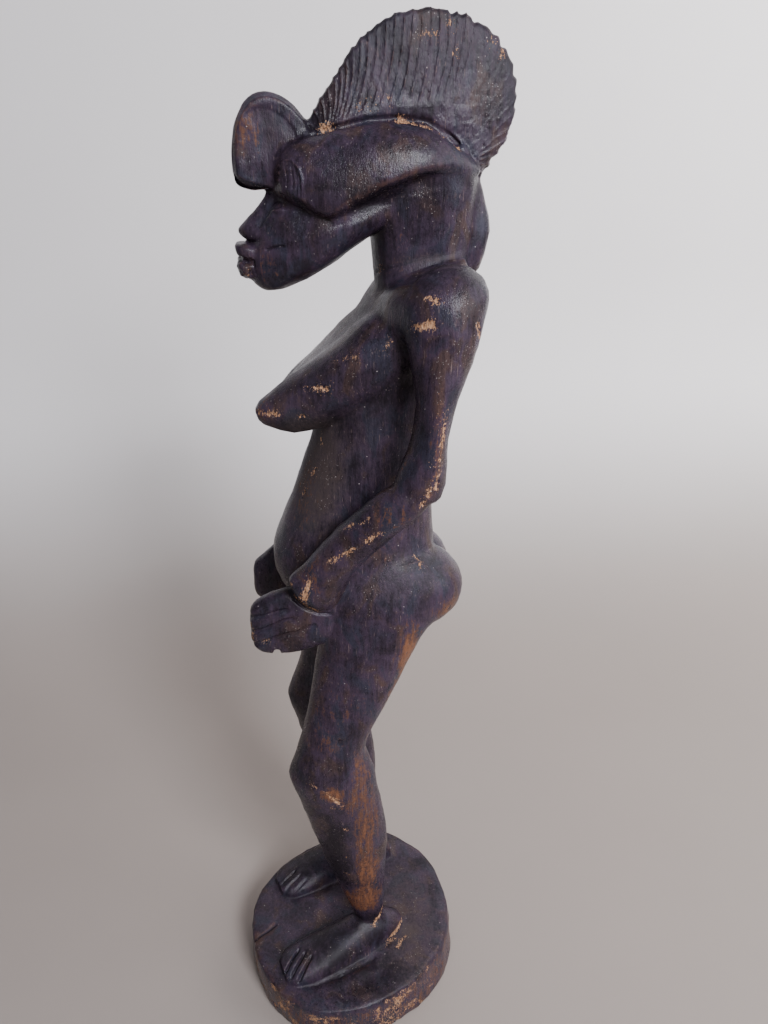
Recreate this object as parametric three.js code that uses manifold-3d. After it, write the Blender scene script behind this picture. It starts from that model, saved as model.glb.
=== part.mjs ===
// Senufo female figure, carved with its round base from one log of wood.
//
// Millimetres, +Z up. The figure looks along -Y and its left side is +X. The origin is the middle of the
// flat underside of the base. The figure stands a little to its right of that middle.

import * as THREE from 'three';
import { mergeVertices } from 'three/addons/utils/BufferGeometryUtils.js';
import Module from 'manifold-3d';

const wasm = await Module();
wasm.setup();

// Driving dimensions

const BASE_HEIGHT = 32;
const BASE_RADIUS = 71.7;
const BASE_FLARE = 4;
const BASE_FLARE_ANGLE = 75;
const FIGURE_SHIFT = -10;

const ANKLE_HEIGHT = 40;
const KNEE_HEIGHT = 205;
const KNEE_SPREAD = 37;
const LEFT_ANKLE_SPREAD = 22;
const RIGHT_ANKLE_SPREAD = 36;

const HAND_OUT = 29;
const RIGHT_HAND_DROP = 3;
const RIGHT_BREAST_DROP = 6;
const RIGHT_BREAST_SHORTER = 5;
const RIGHT_SHOULDER_DROP = 8;

const FLUTE_COUNT = 33;
const FLUTE_DEPTH = 1.3;
const FLUTE_SCALLOP = 1;

const LOBE_HALF_THICKNESS = 7;

const WELD = 1e-4;

// Small helpers

const radians = THREE.MathUtils.degToRad;
const mix = THREE.MathUtils.lerp;

function point(x, y, z) {
  return new THREE.Vector3(x, y, z);
}

function smoothCurve(points) {
  return new THREE.CatmullRomCurve3(points, false, 'catmullrom', 0.5);
}

// A closed skin through rows of points. Every row has the same number of points, and each end is closed
// by a fan round the row's middle.
function closedSkin(rows) {
  const count = rows[0].length;
  const points = rows.flat();
  const triangles = [];
  for (let row = 0; row + 1 < rows.length; row++) {
    for (let i = 0; i < count; i++) {
      const next = (i + 1) % count;
      const a = row * count + i;
      const b = row * count + next;
      triangles.push(a, b, b + count, a, b + count, a + count);
    }
  }
  for (const [row, turned] of [[0, true], [rows.length - 1, false]]) {
    const middle = rows[row].reduce((sum, p) => sum.add(p), point(0, 0, 0)).divideScalar(count);
    const centre = points.push(middle) - 1;
    for (let i = 0; i < count; i++) {
      const a = row * count + i;
      const b = row * count + (i + 1) % count;
      triangles.push(...(turned ? [b, a, centre] : [a, b, centre]));
    }
  }
  const skin = new THREE.BufferGeometry().setFromPoints(points);
  skin.setIndex(triangles);
  return skin;
}

function enclosedVolume(geometry) {
  const at = geometry.attributes.position;
  const [a, b, c] = [point(0, 0, 0), point(0, 0, 0), point(0, 0, 0)];
  let volume = 0;
  for (let i = 0; i < geometry.index.count; i += 3) {
    a.fromBufferAttribute(at, geometry.index.getX(i));
    b.fromBufferAttribute(at, geometry.index.getX(i + 1));
    c.fromBufferAttribute(at, geometry.index.getX(i + 2));
    volume += a.dot(b.cross(c)) / 6;
  }
  return volume;
}

// A closed geometry as a solid that can be joined and cut.
function solid(geometry) {
  const plain = geometry.clone();
  plain.deleteAttribute('normal');
  plain.deleteAttribute('uv');
  const merged = mergeVertices(plain, WELD);
  const corners = Array.from(merged.index.array);
  if (enclosedVolume(merged) < 0) {
    corners.reverse();
  }
  return new wasm.Manifold(new wasm.Mesh({
    numProp: 3,
    vertProperties: new Float32Array(merged.attributes.position.array),
    triVerts: new Uint32Array(corners),
  }));
}

function join(solids) {
  return solids.reduce((whole, next) => whole.add(next));
}

// The ways in which a limb is sliced: level for upright limbs, facing for forms that run from the front
// to the back, sideways for forms that run from side to side, and across the limb for slanting ones.
const LEVEL = 'level';
const FACING = 'facing';
const SIDEWAYS = 'sideways';
const ACROSS = 'across';

const SLICE_AXES = {
  [LEVEL]: { side: [1, 0, 0], fore: [0, -1, 0] },
  [FACING]: { side: [1, 0, 0], fore: [0, 0, -1] },
  [SIDEWAYS]: { side: [0, 1, 0], fore: [0, 0, 1] },
  [ACROSS]: { side: [1, 0, 0], fore: [0, -1, 0] },
};

// One slice of a limb round its centre, with its half width to the side, and its reach to the front or
// down and to the back or up. The front or lower half can have a squareness of its own.
function slice(centre, along, reach, corners, squareness, cut, foreSquareness = squareness) {
  let side = point(...SLICE_AXES[cut].side);
  let fore = point(...SLICE_AXES[cut].fore);
  if (cut === ACROSS) {
    side = side.addScaledVector(along, -along.x).normalize();
    fore = side.clone().cross(along);
  }
  const row = [];
  for (let i = 0; i < corners; i++) {
    const angle = (i + 0.5) / corners * Math.PI * 2;
    const power = 2 / (Math.sin(angle) > 0 ? foreSquareness : squareness);
    const cos = Math.sign(Math.cos(angle)) * Math.abs(Math.cos(angle)) ** power;
    const sin = Math.sign(Math.sin(angle)) * Math.abs(Math.sin(angle)) ** power;
    const depth = sin > 0 ? reach.y : reach.z;
    row.push(centre.clone().addScaledVector(side, cos * reach.x).addScaledVector(fore, sin * depth));
  }
  return row;
}

// A limb is a smooth skin through stations. A station is its centre and its reach, and the skin passes
// through each of them, with `between` slices from one to the next.
function limb(stations, options = {}) {
  const { corners = 16, between = 1, squareness = 2, foreSquareness, cut = LEVEL } = options;
  const centres = smoothCurve(stations.map((s) => s.centre));
  const reaches = smoothCurve(stations.map((s) => s.reach));
  const slices = (stations.length - 1) * between;
  const rows = [];
  for (let i = 0; i <= slices; i++) {
    const t = i / slices;
    const along = centres.getTangent(t);
    const [centre, reach] = [centres.getPoint(t), reaches.getPoint(t)];
    rows.push(slice(centre, along, reach, corners, squareness, cut, foreSquareness));
  }
  return solid(closedSkin(rows));
}

// A station of an upright limb, from its height, the places of its front and back, its half width and
// how far it stands to the side.
function level(z, front, back, half, x = 0) {
  const depth = (back - front) / 2;
  return { centre: point(x, (front + back) / 2, z), reach: point(half, depth, depth) };
}

// A station of a form that runs from front to back, from its place along Y, its lowest, widest and
// highest heights, its half width and how far it stands to the side.
function facing(y, low, widest, high, half, x = 0) {
  return { centre: point(x, y, widest), reach: point(half, widest - low, high - widest) };
}

function across(x, y, z, half, fore, aft) {
  return { centre: point(x, y, z), reach: point(half, fore, aft) };
}

// The same form on the figure's left (side 1) or right (side -1)
function onSide(stations, side) {
  return stations.map(({ centre, reach }) => ({
    centre: point(centre.x * side, centre.y, centre.z),
    reach,
  }));
}

function ball(x, y, z, rx, ry, rz, across = 14, up = 9) {
  const shape = new THREE.SphereGeometry(1, across, up);
  shape.rotateX(Math.PI / 2);
  shape.scale(rx, ry, rz);
  shape.translate(x, y, z);
  return solid(shape);
}

// The base: a chopped disc whose outline is a circle with a few shallow lobes, flaring out at the foot

const BASE_LOBES = [
  { waves: 1, height: 2.6, angle: 130 },
  { waves: 2, height: 3.7, angle: -50 },
  { waves: 3, height: 0.8, angle: 13 },
  { waves: 4, height: 1.3, angle: -23 },
];

const BASE_SIDES = 36;

function baseRadius(angle) {
  return BASE_LOBES.reduce(
    (radius, lobe) => radius + lobe.height * Math.cos(lobe.waves * (angle - radians(lobe.angle))),
    BASE_RADIUS,
  );
}

function base() {
  const levels = [
    { z: 0, out: -1.2, flare: 1 },
    { z: 2, out: 0.2, flare: 0.95 },
    { z: 14, out: 0.9, flare: 0.45 },
    { z: BASE_HEIGHT - 2.5, out: 0.7, flare: 0 },
    { z: BASE_HEIGHT, out: -0.3, flare: 0 },
  ];
  const rows = levels.map(({ z, out, flare }) => {
    const row = [];
    for (let i = 0; i < BASE_SIDES; i++) {
      const angle = i / BASE_SIDES * Math.PI * 2;
      const toFlare = Math.max(0, Math.cos(angle - radians(BASE_FLARE_ANGLE)));
      const radius = baseRadius(angle) + out + BASE_FLARE * flare * toFlare;
      row.push(point(Math.cos(angle) * radius - FIGURE_SHIFT, Math.sin(angle) * radius, z));
    }
    return row;
  });
  return solid(closedSkin(rows));
}

// Legs. A foot is a low arched form along a line from its heel over the ball of the foot to the toes.

const FOOT_CORNERS = 14;
const FOOT_SQUARENESS = 2.3;
const FOOT_SUNK = 2;

function foot(heel, ballOfFoot, toe) {
  const stations = [
    { t: 0, half: 6, high: 7 },
    { t: 0.08, half: 10, high: 13 },
    { t: 0.24, half: 13.2, high: 21 },
    { t: 0.45, half: 15, high: 19 },
    { t: 0.65, half: 15.8, high: 13.5 },
    { t: 0.82, half: 15.6, high: 10 },
    { t: 0.94, half: 13.4, high: 7.5 },
    { t: 1, half: 8, high: 5 },
  ];
  const sole = smoothCurve([heel, ballOfFoot, toe].map(([x, y]) => point(x, y, BASE_HEIGHT)));
  const rows = stations.map(({ t, half, high }) => slice(
    sole.getPoint(t),
    sole.getTangent(t).negate(),
    point(half, high, FOOT_SUNK),
    FOOT_CORNERS,
    FOOT_SQUARENESS,
    ACROSS,
  ));
  return solid(closedSkin(rows));
}

// Four slits part the toes. They run forward at an angle to the side of the foot's own line.
const TOE_SLIT = { count: 4, spacing: 5.4, length: 26, half: 1.5, deep: 6, high: 9.5, dip: 12 };

function toeSlits({ x, y, turn }) {
  const slits = [];
  for (let i = 0; i < TOE_SLIT.count; i++) {
    const offset = (i - (TOE_SLIT.count - 1) / 2) * TOE_SLIT.spacing;
    const cutter = new THREE.CylinderGeometry(1, 1, TOE_SLIT.length, 4);
    cutter.scale(TOE_SLIT.half, 1, TOE_SLIT.deep);
    cutter.rotateX(radians(TOE_SLIT.dip));
    cutter.translate(offset, 0, 0);
    cutter.rotateZ(radians(turn));
    cutter.translate(x, y, BASE_HEIGHT + TOE_SLIT.high);
    slits.push(solid(cutter));
  }
  return join(slits);
}

function shin(side, ankleSpread) {
  const profile = [
    [ANKLE_HEIGHT - 6, 6, 23, 9.5],
    [ANKLE_HEIGHT + 6, 5, 23.5, 9.5],
    [63, 1.3, 24.3, 10],
    [80, -4, 25, 11.5],
    [98, -8.6, 25, 13],
    [120, -14.5, 25.5, 14.5],
    [142, -19.7, 25.8, 15.5],
    [168, -25.5, 23, 16.3],
    [188, -30, 19.3, 17],
    [202, -33, 17.5, 17.2],
    [214, -31, 14, 16.5],
  ];
  return limb(profile.map(([z, front, back, half]) => {
    const up = (z - ANKLE_HEIGHT) / (KNEE_HEIGHT - ANKLE_HEIGHT);
    return level(z, front, back, half, side * mix(ankleSpread, KNEE_SPREAD, up));
  }), { corners: 12, squareness: 2.2 });
}

function thigh(side) {
  return limb(onSide([
    level(194, -30, 17, 14, 36.5),
    level(204, -33, 17, 16.8, 37),
    level(213, -32.3, 15, 17.2, 37),
    level(224, -29, 12, 17, 36.5),
    level(237, -25, 15, 17.3, 35.3),
    level(258, -20, 26, 19, 32),
    level(280, -15.5, 37, 21, 28),
    level(298, -13, 46.5, 22.5, 25),
    level(315, -14, 57, 23.5, 23),
    level(332, -15, 60, 22, 21),
    level(348, -8, 50, 17, 20),
  ], side), { corners: 12, squareness: 2.2 });
}

// The right buttock is a little smaller and lower than the left one
function buttock(side) {
  return side > 0 ? ball(15.5, 41.5, 323.5, 25, 29.7, 25) : ball(-15.5, 40, 321, 24.5, 28.5, 24.5);
}

// Body

function torso() {
  return limb([
    level(303, 4, 40, 16),
    level(312, -18, 46, 27),
    level(322, -30, 50, 34),
    level(334, -35, 54, 37.5),
    level(347, -35, 56, 38),
    level(361, -30, 55, 35.5),
    level(380, -22, 54.5, 33.5),
    level(411, -10.7, 56.5, 34),
    level(440, -1, 60, 37),
    level(462, 8, 64, 41),
    level(477, 16, 67, 47),
    level(488, 25, 68, 51),
    level(494, 31.5, 68, 50),
    level(498.5, 42, 67.5, 45),
    level(502, 54, 66, 30),
  ], { corners: 20, squareness: 2.1 });
}

// The slope from the neck to the breasts, which fills the valley between them
function chest() {
  return limb([
    facing(35, 450, 472, 487, 34),
    facing(17, 440, 460, 476.5, 31),
    facing(1, 434, 449, 462.5, 26),
    facing(-10, 431, 441, 451.5, 20),
    facing(-20, 430, 436, 443, 12),
    facing(-25, 431, 434, 437, 6),
  ], { corners: 12, squareness: 2.8, cut: FACING });
}

// The slope from the chest to the upper arm, over the slit at the armpit. It is higher on the left.
function shoulderFront(side) {
  const drop = side > 0 ? 0 : RIGHT_SHOULDER_DROP;
  return limb(onSide([
    across(20, 32, 476 - drop, 11, 15, 12),
    across(38, 37, 479 - drop, 13, 16, 13),
    across(53, 43, 483 - drop, 12, 15, 12),
  ], side), { corners: 12, squareness: 2.3, cut: SIDEWAYS });
}

// The left breast is a little longer and higher than the right one
function breast(side) {
  const drop = side > 0 ? 0 : RIGHT_BREAST_DROP;
  const shorter = side > 0 ? 0 : RIGHT_BREAST_SHORTER;
  const stations = [
    across(15.5, -38 + shorter, 429.2, 3, 3, 3.4),
    across(15.5, -34.7 + shorter, 430, 6.5, 6, 8),
    across(16, -25 + shorter, 433.8, 10.5, 9, 16.2),
    across(17.5, -11 + shorter / 2, 440.8, 14.5, 12, 20.2),
    across(20, 8, 449.5, 18.5, 16, 21.5),
    across(23, 26, 460, 20.5, 20, 23),
    across(24, 44, 472, 19, 19, 22),
  ];
  for (const { centre } of stations) {
    centre.z -= drop;
  }
  return limb(onSide(stations, side), {
    corners: 14,
    squareness: 1.6,
    foreSquareness: 2.3,
    cut: ACROSS,
  });
}

function upperArm(side) {
  return limb(onSide([
    level(396.5, 38, 46, 5, 56),
    level(399, 33, 49, 8.5, 56),
    level(405, 26, 51, 10.3, 56),
    level(413, 28, 51.3, 10.6, 56),
    level(427, 33.5, 51.3, 10.6, 56),
    level(440, 35.5, 53.5, 11, 55.5),
    level(451, 35.5, 57, 11.7, 54.5),
    level(465, 33, 62, 12.8, 52.5),
    level(481, 30.5, 67, 14.3, 50),
    level(491, 31, 68.6, 14.5, 48),
    level(498, 36, 67, 12, 46.5),
    level(503.5, 46, 60, 6, 44.5),
  ], side), { corners: 12 });
}

function forearm(side) {
  return limb(onSide([
    across(40, -18.8, 333.6, 4.5, 6, 6),
    across(40, -17.8, 334.8, 7.5, 11.5, 11.5),
    across(40.3, -15, 338.2, 9, 15, 15),
    across(41.5, -9, 347, 9.6, 13.6, 13.4),
    across(44, -1, 360, 10, 11.9, 11.7),
    across(48, 10, 374, 10.3, 11.5, 11.5),
    across(52, 21, 386, 10.5, 11.3, 11.2),
    across(55, 32, 396, 10.4, 10.8, 10),
    across(56, 39, 402, 9, 8.5, 8),
  ], side), { corners: 12, squareness: 2.2, cut: ACROSS });
}

// The right hand lies a little lower than the left one, and the corner over its fingertips is rounder
function hand(side) {
  const drop = side > 0 ? 0 : RIGHT_HAND_DROP;
  const stations = [
    facing(4, 312, 320, 329, 6, HAND_OUT + 5),
    facing(-11, 299.5, 318, 337, 7.2, HAND_OUT + 3.5),
    facing(-24, 294.3, 314.5, 336.5, 7.4, HAND_OUT + 1.8),
    facing(-34, 293.3, 312, 333, 7.2, HAND_OUT + 0.8),
    facing(-43, 293.8, 310, 329 - drop, 6.8, HAND_OUT),
    facing(-48.3, 297.3, 310, 324.5 - drop, 5.2, HAND_OUT),
    facing(-50, 302, 310, 317.5 - drop / 2, 2.5, HAND_OUT),
  ];
  for (const { centre } of stations) {
    centre.z -= drop;
  }
  const palm = limb(onSide(stations, side), { corners: 14, squareness: 2.6, cut: FACING });
  return palm.subtract(fingerGrooves(side, drop));
}

// Three grooves part the four fingers, on both faces of the hand, and the little finger ends short
const FINGER_GROOVES = [
  { z: 320, reach: 22 },
  { z: 311, reach: 24 },
  { z: 301.5, reach: 20 },
];
const FINGERTIPS = -52;
const HAND_FACE = 8;
const GROOVE_HALF = 1.5;
const GROOVE_DEPTH = 1.95;
const GROOVE_DIP = 6;
const LITTLE_FINGER = { y: -37, z: 292, notch: 2.4 };

function fingerGrooves(side, drop) {
  const cuts = [];
  for (const { z, reach } of FINGER_GROOVES) {
    for (const face of [-1, 1]) {
      const cutter = new THREE.CylinderGeometry(GROOVE_HALF, GROOVE_HALF, reach, 4);
      cutter.scale(GROOVE_DEPTH / GROOVE_HALF, 1, 1);
      cutter.rotateX(radians(GROOVE_DIP));
      cutter.translate((HAND_OUT + face * HAND_FACE) * side, FINGERTIPS + reach / 2, z - drop);
      cuts.push(solid(cutter));
    }
  }
  const notch = new THREE.CylinderGeometry(LITTLE_FINGER.notch, LITTLE_FINGER.notch, HAND_OUT, 6);
  notch.rotateZ(Math.PI / 2);
  notch.translate(HAND_OUT * side, LITTLE_FINGER.y, LITTLE_FINGER.z - drop);
  cuts.push(solid(notch));
  return join(cuts);
}

// Neck and head

function neck() {
  return limb([
    level(482, 24, 67, 22),
    level(492, 23, 68, 20),
    level(506, 22, 69, 19),
    level(520, 21, 70, 20.5),
    level(536, 21, 70.5, 22),
    level(550, 26, 65, 18),
  ], { corners: 14, squareness: 2.5 });
}

function napeLock() {
  return limb([
    level(490, 58, 71, 4),
    level(496, 59, 75, 6.5),
    level(505, 60, 78, 8),
    level(514, 60, 79, 8),
    level(525, 60, 76.5, 7.5),
    level(535, 60, 73.5, 6.5),
    level(541, 58, 70, 3.5),
  ], { corners: 10, squareness: 2.4 });
}

function skull() {
  return limb([
    facing(-20.5, 527, 538, 546, 6),
    facing(-13, 520, 538, 553, 10.5),
    facing(0, 513, 538, 558, 12.5),
    facing(15, 515, 538, 562, 13.2),
    facing(30, 515, 538, 564.5, 13.2),
    facing(46, 514, 538, 563, 13.2),
    facing(58, 514, 538, 556, 12),
    facing(66, 515, 537, 548.5, 10.5),
    facing(70.5, 525, 535, 542, 7),
  ], { corners: 12, squareness: 3, cut: FACING });
}

// The smooth swelling at the side of the head, from the eye to the back of the neck
function headSide(side) {
  return limb(onSide([
    facing(-21.5, 530, 536, 544, 5.5, 6.5),
    facing(-18, 527, 534, 549, 9, 8.5),
    facing(-10, 522.5, 529, 552.5, 12.5, 10.5),
    facing(0, 518, 525, 555.5, 15, 12),
    facing(14, 521.5, 532, 558, 16.4, 13),
    facing(29, 528, 538.5, 559, 17, 13.5),
    facing(44, 533, 543, 557.5, 17, 12),
    facing(56, 535, 542.5, 552, 14.5, 9.5),
    facing(65, 534.5, 540.5, 546.5, 10, 7),
    facing(70.5, 536.5, 539.5, 542, 5, 5.5),
  ], side), { corners: 14, squareness: 2.1, foreSquareness: 1.35, cut: FACING });
}

function jaw() {
  return limb([
    facing(-36.5, 492.5, 498, 504, 5),
    facing(-33.5, 489.3, 499, 510, 9.5),
    facing(-28.5, 487, 501, 520, 13),
    facing(-19, 488.4, 505, 531, 17),
    facing(-9, 492.8, 509, 533, 20),
    facing(2, 499, 514, 535, 22),
    facing(14, 507.5, 520, 538, 22.5),
    facing(25, 513.5, 524, 540, 20),
    facing(36, 517, 527, 540, 17),
  ], { corners: 14, squareness: 2.3, cut: FACING });
}

function nose() {
  return limb([
    level(509.8, -36, -20, 6),
    level(511.8, -39.3, -20, 7.2),
    level(514.5, -40.8, -20, 7),
    level(519, -36.6, -18, 5.6),
    level(525, -31, -16, 4.6),
    level(532, -26.5, -12, 4.4),
    level(540, -26, -10, 6),
  ], { corners: 10, squareness: 1.7 });
}

function lips() {
  const upper = limb([
    facing(-41.8, 503.5, 506, 508.3, 6),
    facing(-39.5, 502, 505.5, 508.8, 8.5),
    facing(-33, 501, 505, 509, 9.5),
    facing(-26, 501, 505, 509, 9),
  ], { corners: 8, squareness: 3, cut: FACING });
  const lower = limb([
    facing(-42, 495.8, 498, 500.4, 5),
    facing(-40.3, 493.8, 497.5, 501, 7.5),
    facing(-36, 492.3, 497, 501.3, 8.8),
    facing(-28, 491, 497, 501.5, 9),
  ], { corners: 10, squareness: 2.4, cut: FACING });
  return upper.add(lower);
}

// The eye: a raised half oval, with an arched lid over it and the eyeball against the side of the nose
function eye(side) {
  const lidPoints = [
    [12.6, -20.4, 546.5],
    [17.2, -16.6, 546],
    [20.6, -12.8, 542],
    [22.2, -10.8, 535.5],
    [22, -11.6, 528.5],
  ];
  const lid = limb(lidPoints.map(([x, y, z]) => across(x * side, y, z, 1.6, 1.2, 1.2)), {
    corners: 5,
    cut: ACROSS,
  });
  const bulge = ball(13.5 * side, -17.5, 533, 4.4, 4.4, 5, 8, 5);
  const lowerLid = limb([
    across(9 * side, -23, 527.5, 2.5, 1.6, 1.6),
    across(15 * side, -18.5, 526.8, 3, 1.6, 1.6),
    across(21.5 * side, -11.5, 527.5, 2, 1.4, 1.4),
  ], { corners: 5, cut: ACROSS });
  return join([lid, bulge, lowerLid]);
}

// The lock over the forehead: a flat lobe in the middle plane with a straight lower edge. Its two faces
// are the same outline drawn smaller, so the rim between them is bevelled.
const LOBE_MIDDLE = [-19, 549];
const LOBE_FACE = 0.8;
const LOBE_RIM_HALF = 3;

function foreheadLobe() {
  const outline = new THREE.Shape();
  outline.moveTo(-3, 533);
  outline.lineTo(-32, 531.8);
  outline.quadraticCurveTo(-40, 532.4, -40.6, 536);
  outline.bezierCurveTo(-43, 553, -37.5, 571.7, -25, 571.7);
  outline.bezierCurveTo(-17.5, 571.7, -12, 567, -7.2, 560.9);
  outline.lineTo(-3, 552);
  const corners = outline.getPoints(6);
  const rows = [
    { x: -LOBE_HALF_THICKNESS, size: LOBE_FACE },
    { x: -LOBE_RIM_HALF, size: 1 },
    { x: LOBE_RIM_HALF, size: 1 },
    { x: LOBE_HALF_THICKNESS, size: LOBE_FACE },
  ].map(({ x, size }) => corners.map((corner) => point(
    x,
    mix(LOBE_MIDDLE[0], corner.x, size),
    mix(LOBE_MIDDLE[1], corner.y, size),
  )));
  return solid(closedSkin(rows));
}

// The crest: a fan in the middle plane. Each flute runs from the root line, on top of the head, to the
// point of the rim with the same place in its row.
const CREST_RIM = [
  [-7.2, 561], [5, 576.5], [17.5, 592.3], [37, 602.6], [58.5, 602.3],
  [78.5, 592.8], [88, 573.5], [85, 553], [73.6, 536.5],
];
const CREST_ROOT = [
  [-6, 552], [-0.5, 555.5], [9.5, 558.3], [29, 563.6], [48, 561.5],
  [55.5, 557.6], [61, 553.6], [66.3, 547.8], [70, 541.5],
];
const HEAD_HEART = [34, 528];

// Some flutes, counted from the front, with their shares of the way along the rim and along the root.
// They are wide at both ends and close together over the middle.
const FLUTE_PLACES = [
  [0, 0, 0], [4, 0.133, 0.133], [8, 0.25, 0.25], [13, 0.37, 0.37],
  [21, 0.549, 0.58], [27, 0.77, 0.87], [FLUTE_COUNT, 1, 1],
];

function fluteShares(flute) {
  const after = Math.max(1, FLUTE_PLACES.findIndex(([number]) => number >= flute));
  const [low, high] = [FLUTE_PLACES[after - 1], FLUTE_PLACES[after]];
  const between = (flute - low[0]) / (high[0] - low[0]);
  return [mix(low[1], high[1], between), mix(low[2], high[2], between)];
}

const CREST_BURIAL = 8;
const CREST_STEPS = 2;
const CREST_ROOT_HALF = 9.2;
const CREST_SHOULDER_HALF = 4.8;
const CREST_TOP_HALF = 2.4;

function crest() {
  const rim = smoothCurve(CREST_RIM.map(([y, z]) => point(0, y, z)));
  const root = smoothCurve(CREST_ROOT.map(([y, z]) => point(0, y, z)));
  const rows = [];
  const count = FLUTE_COUNT * CREST_STEPS;
  for (let i = 0; i <= count; i++) {
    const [rimShare, rootShare] = fluteShares(i / CREST_STEPS);
    const wave = i % CREST_STEPS === 0 ? 1 : 0;
    const groove = FLUTE_DEPTH * (1 - wave);
    const foot = root.getPoint(rootShare);
    const edge = rim.getPoint(rimShare);
    const outward = edge.clone().sub(foot).normalize();
    const at = (place, half) => place.clone().setX(half);
    const top = edge.clone().addScaledVector(outward, FLUTE_SCALLOP * (wave - 1));
    const shoulder = edge.clone().addScaledVector(outward, -2);
    const lip = foot.clone().addScaledVector(outward, 1);
    const inward = point(0, HEAD_HEART[0], HEAD_HEART[1]).sub(foot).normalize();
    const low = foot.clone().addScaledVector(inward, CREST_BURIAL);
    rows.push([
      at(low, CREST_ROOT_HALF),
      at(lip, CREST_ROOT_HALF - groove),
      at(shoulder, CREST_SHOULDER_HALF - groove),
      at(top, CREST_TOP_HALF),
      at(top, -CREST_TOP_HALF),
      at(shoulder, groove - CREST_SHOULDER_HALF),
      at(lip, groove - CREST_ROOT_HALF),
      at(low, -CREST_ROOT_HALF),
    ]);
  }
  return solid(closedSkin(rows));
}

// The whole figure

const LEFT_FOOT = {
  heel: [18, 37],
  ballOfFoot: [35.5, -8],
  toe: [49, -48.5],
  slits: { x: 50.5, y: -41, turn: 40 },
};
const RIGHT_FOOT = {
  heel: [-42, 37],
  ballOfFoot: [-35, -8],
  toe: [-18.5, -51.5],
  slits: { x: -19.5, y: -44, turn: 24 },
};

function figure() {
  const parts = [base(), torso(), chest(), neck(), napeLock()];
  parts.push(skull(), jaw(), nose(), lips(), foreheadLobe(), crest());
  for (const { heel, ballOfFoot, toe, slits } of [LEFT_FOOT, RIGHT_FOOT]) {
    parts.push(foot(heel, ballOfFoot, toe).subtract(toeSlits(slits)));
  }
  parts.push(shin(1, LEFT_ANKLE_SPREAD), shin(-1, RIGHT_ANKLE_SPREAD));
  for (const side of [1, -1]) {
    parts.push(thigh(side), buttock(side), breast(side), shoulderFront(side), upperArm(side));
    parts.push(forearm(side), hand(side), headSide(side), eye(side));
  }
  return join(parts);
}

function meshFrom(whole) {
  const { vertProperties, triVerts } = whole.getMesh();
  const shape = new THREE.BufferGeometry();
  shape.setAttribute('position', new THREE.BufferAttribute(vertProperties, 3));
  shape.setIndex(new THREE.BufferAttribute(triVerts, 1));
  shape.computeVertexNormals();
  return shape;
}

const darkWood = new THREE.MeshStandardMaterial({ color: 0x2b1f1d, roughness: 0.42, metalness: 0 });

const carving = new THREE.Mesh(meshFrom(figure()), darkWood);
carving.name = 'figure';
carving.position.x = FIGURE_SHIFT;

const senufoFigure = new THREE.Group();
senufoFigure.add(carving);

export default senufoFigure;
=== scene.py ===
# Senufo female figure, carved with its round base from one log of dark stained wood.
#
# One piece of visible wood stands for the solid `figure`. Its forms are lofted here at a finer pitch
# from the same stations as the solid, melted into one skin, softened where the carver rounded the
# joins, and then cut again with the flutes, grooves, lids, chips, cracks and adze marks.
# Stations are in millimetres in the figure's own frame, which stands FIGURE_SHIFT along X.

import math

import bmesh
import bpy
import numpy as np
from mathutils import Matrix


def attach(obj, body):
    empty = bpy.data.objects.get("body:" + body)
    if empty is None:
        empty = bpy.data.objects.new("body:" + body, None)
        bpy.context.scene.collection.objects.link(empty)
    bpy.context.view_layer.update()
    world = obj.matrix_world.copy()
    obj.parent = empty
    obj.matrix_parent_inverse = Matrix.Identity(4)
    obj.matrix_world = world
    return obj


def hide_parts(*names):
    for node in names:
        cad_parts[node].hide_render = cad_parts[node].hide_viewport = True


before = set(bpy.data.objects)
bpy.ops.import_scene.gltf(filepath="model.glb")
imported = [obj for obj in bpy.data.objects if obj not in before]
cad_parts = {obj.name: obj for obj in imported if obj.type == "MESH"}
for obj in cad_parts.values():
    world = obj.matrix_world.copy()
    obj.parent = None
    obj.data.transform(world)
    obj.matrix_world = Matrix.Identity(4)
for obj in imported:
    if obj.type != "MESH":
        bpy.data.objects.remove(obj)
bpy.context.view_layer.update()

MM = 0.001
FIGURE_SHIFT = -10
BASE_HEIGHT = 32
VOXEL = 0.65
TRIANGLES = 190000

# Lofts


def hermite(w, p1, m1, p2, m2):
    """Where a curve is at a share w of the way from p1 to p2, leaving along m1 and arriving along m2."""
    return ((2 * w ** 3 - 3 * w ** 2 + 1) * p1 + (w ** 3 - 2 * w ** 2 + w) * m1
            + (3 * w ** 2 - 2 * w ** 3) * p2 + (w ** 3 - w ** 2) * m2)


def with_ends(points):
    """The points with one more straight on at either end, so that a curve can pass through them all."""
    v = np.array(points, float)
    return np.vstack([2 * v[0] - v[1], v, 2 * v[-1] - v[-2]])


def even_curve(points, shares):
    """Places at shares of the way along a smooth curve that takes its points at even steps."""
    ends = with_ends(points)
    s = np.clip(shares, 0, 1) * (len(points) - 1)
    k = np.minimum(s.astype(int), len(points) - 2)
    p0, p1, p2, p3 = (ends[k + i] for i in range(4))
    return hermite((s - k)[:, None], p1, (p2 - p0) / 2, p2, (p3 - p1) / 2)


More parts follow.
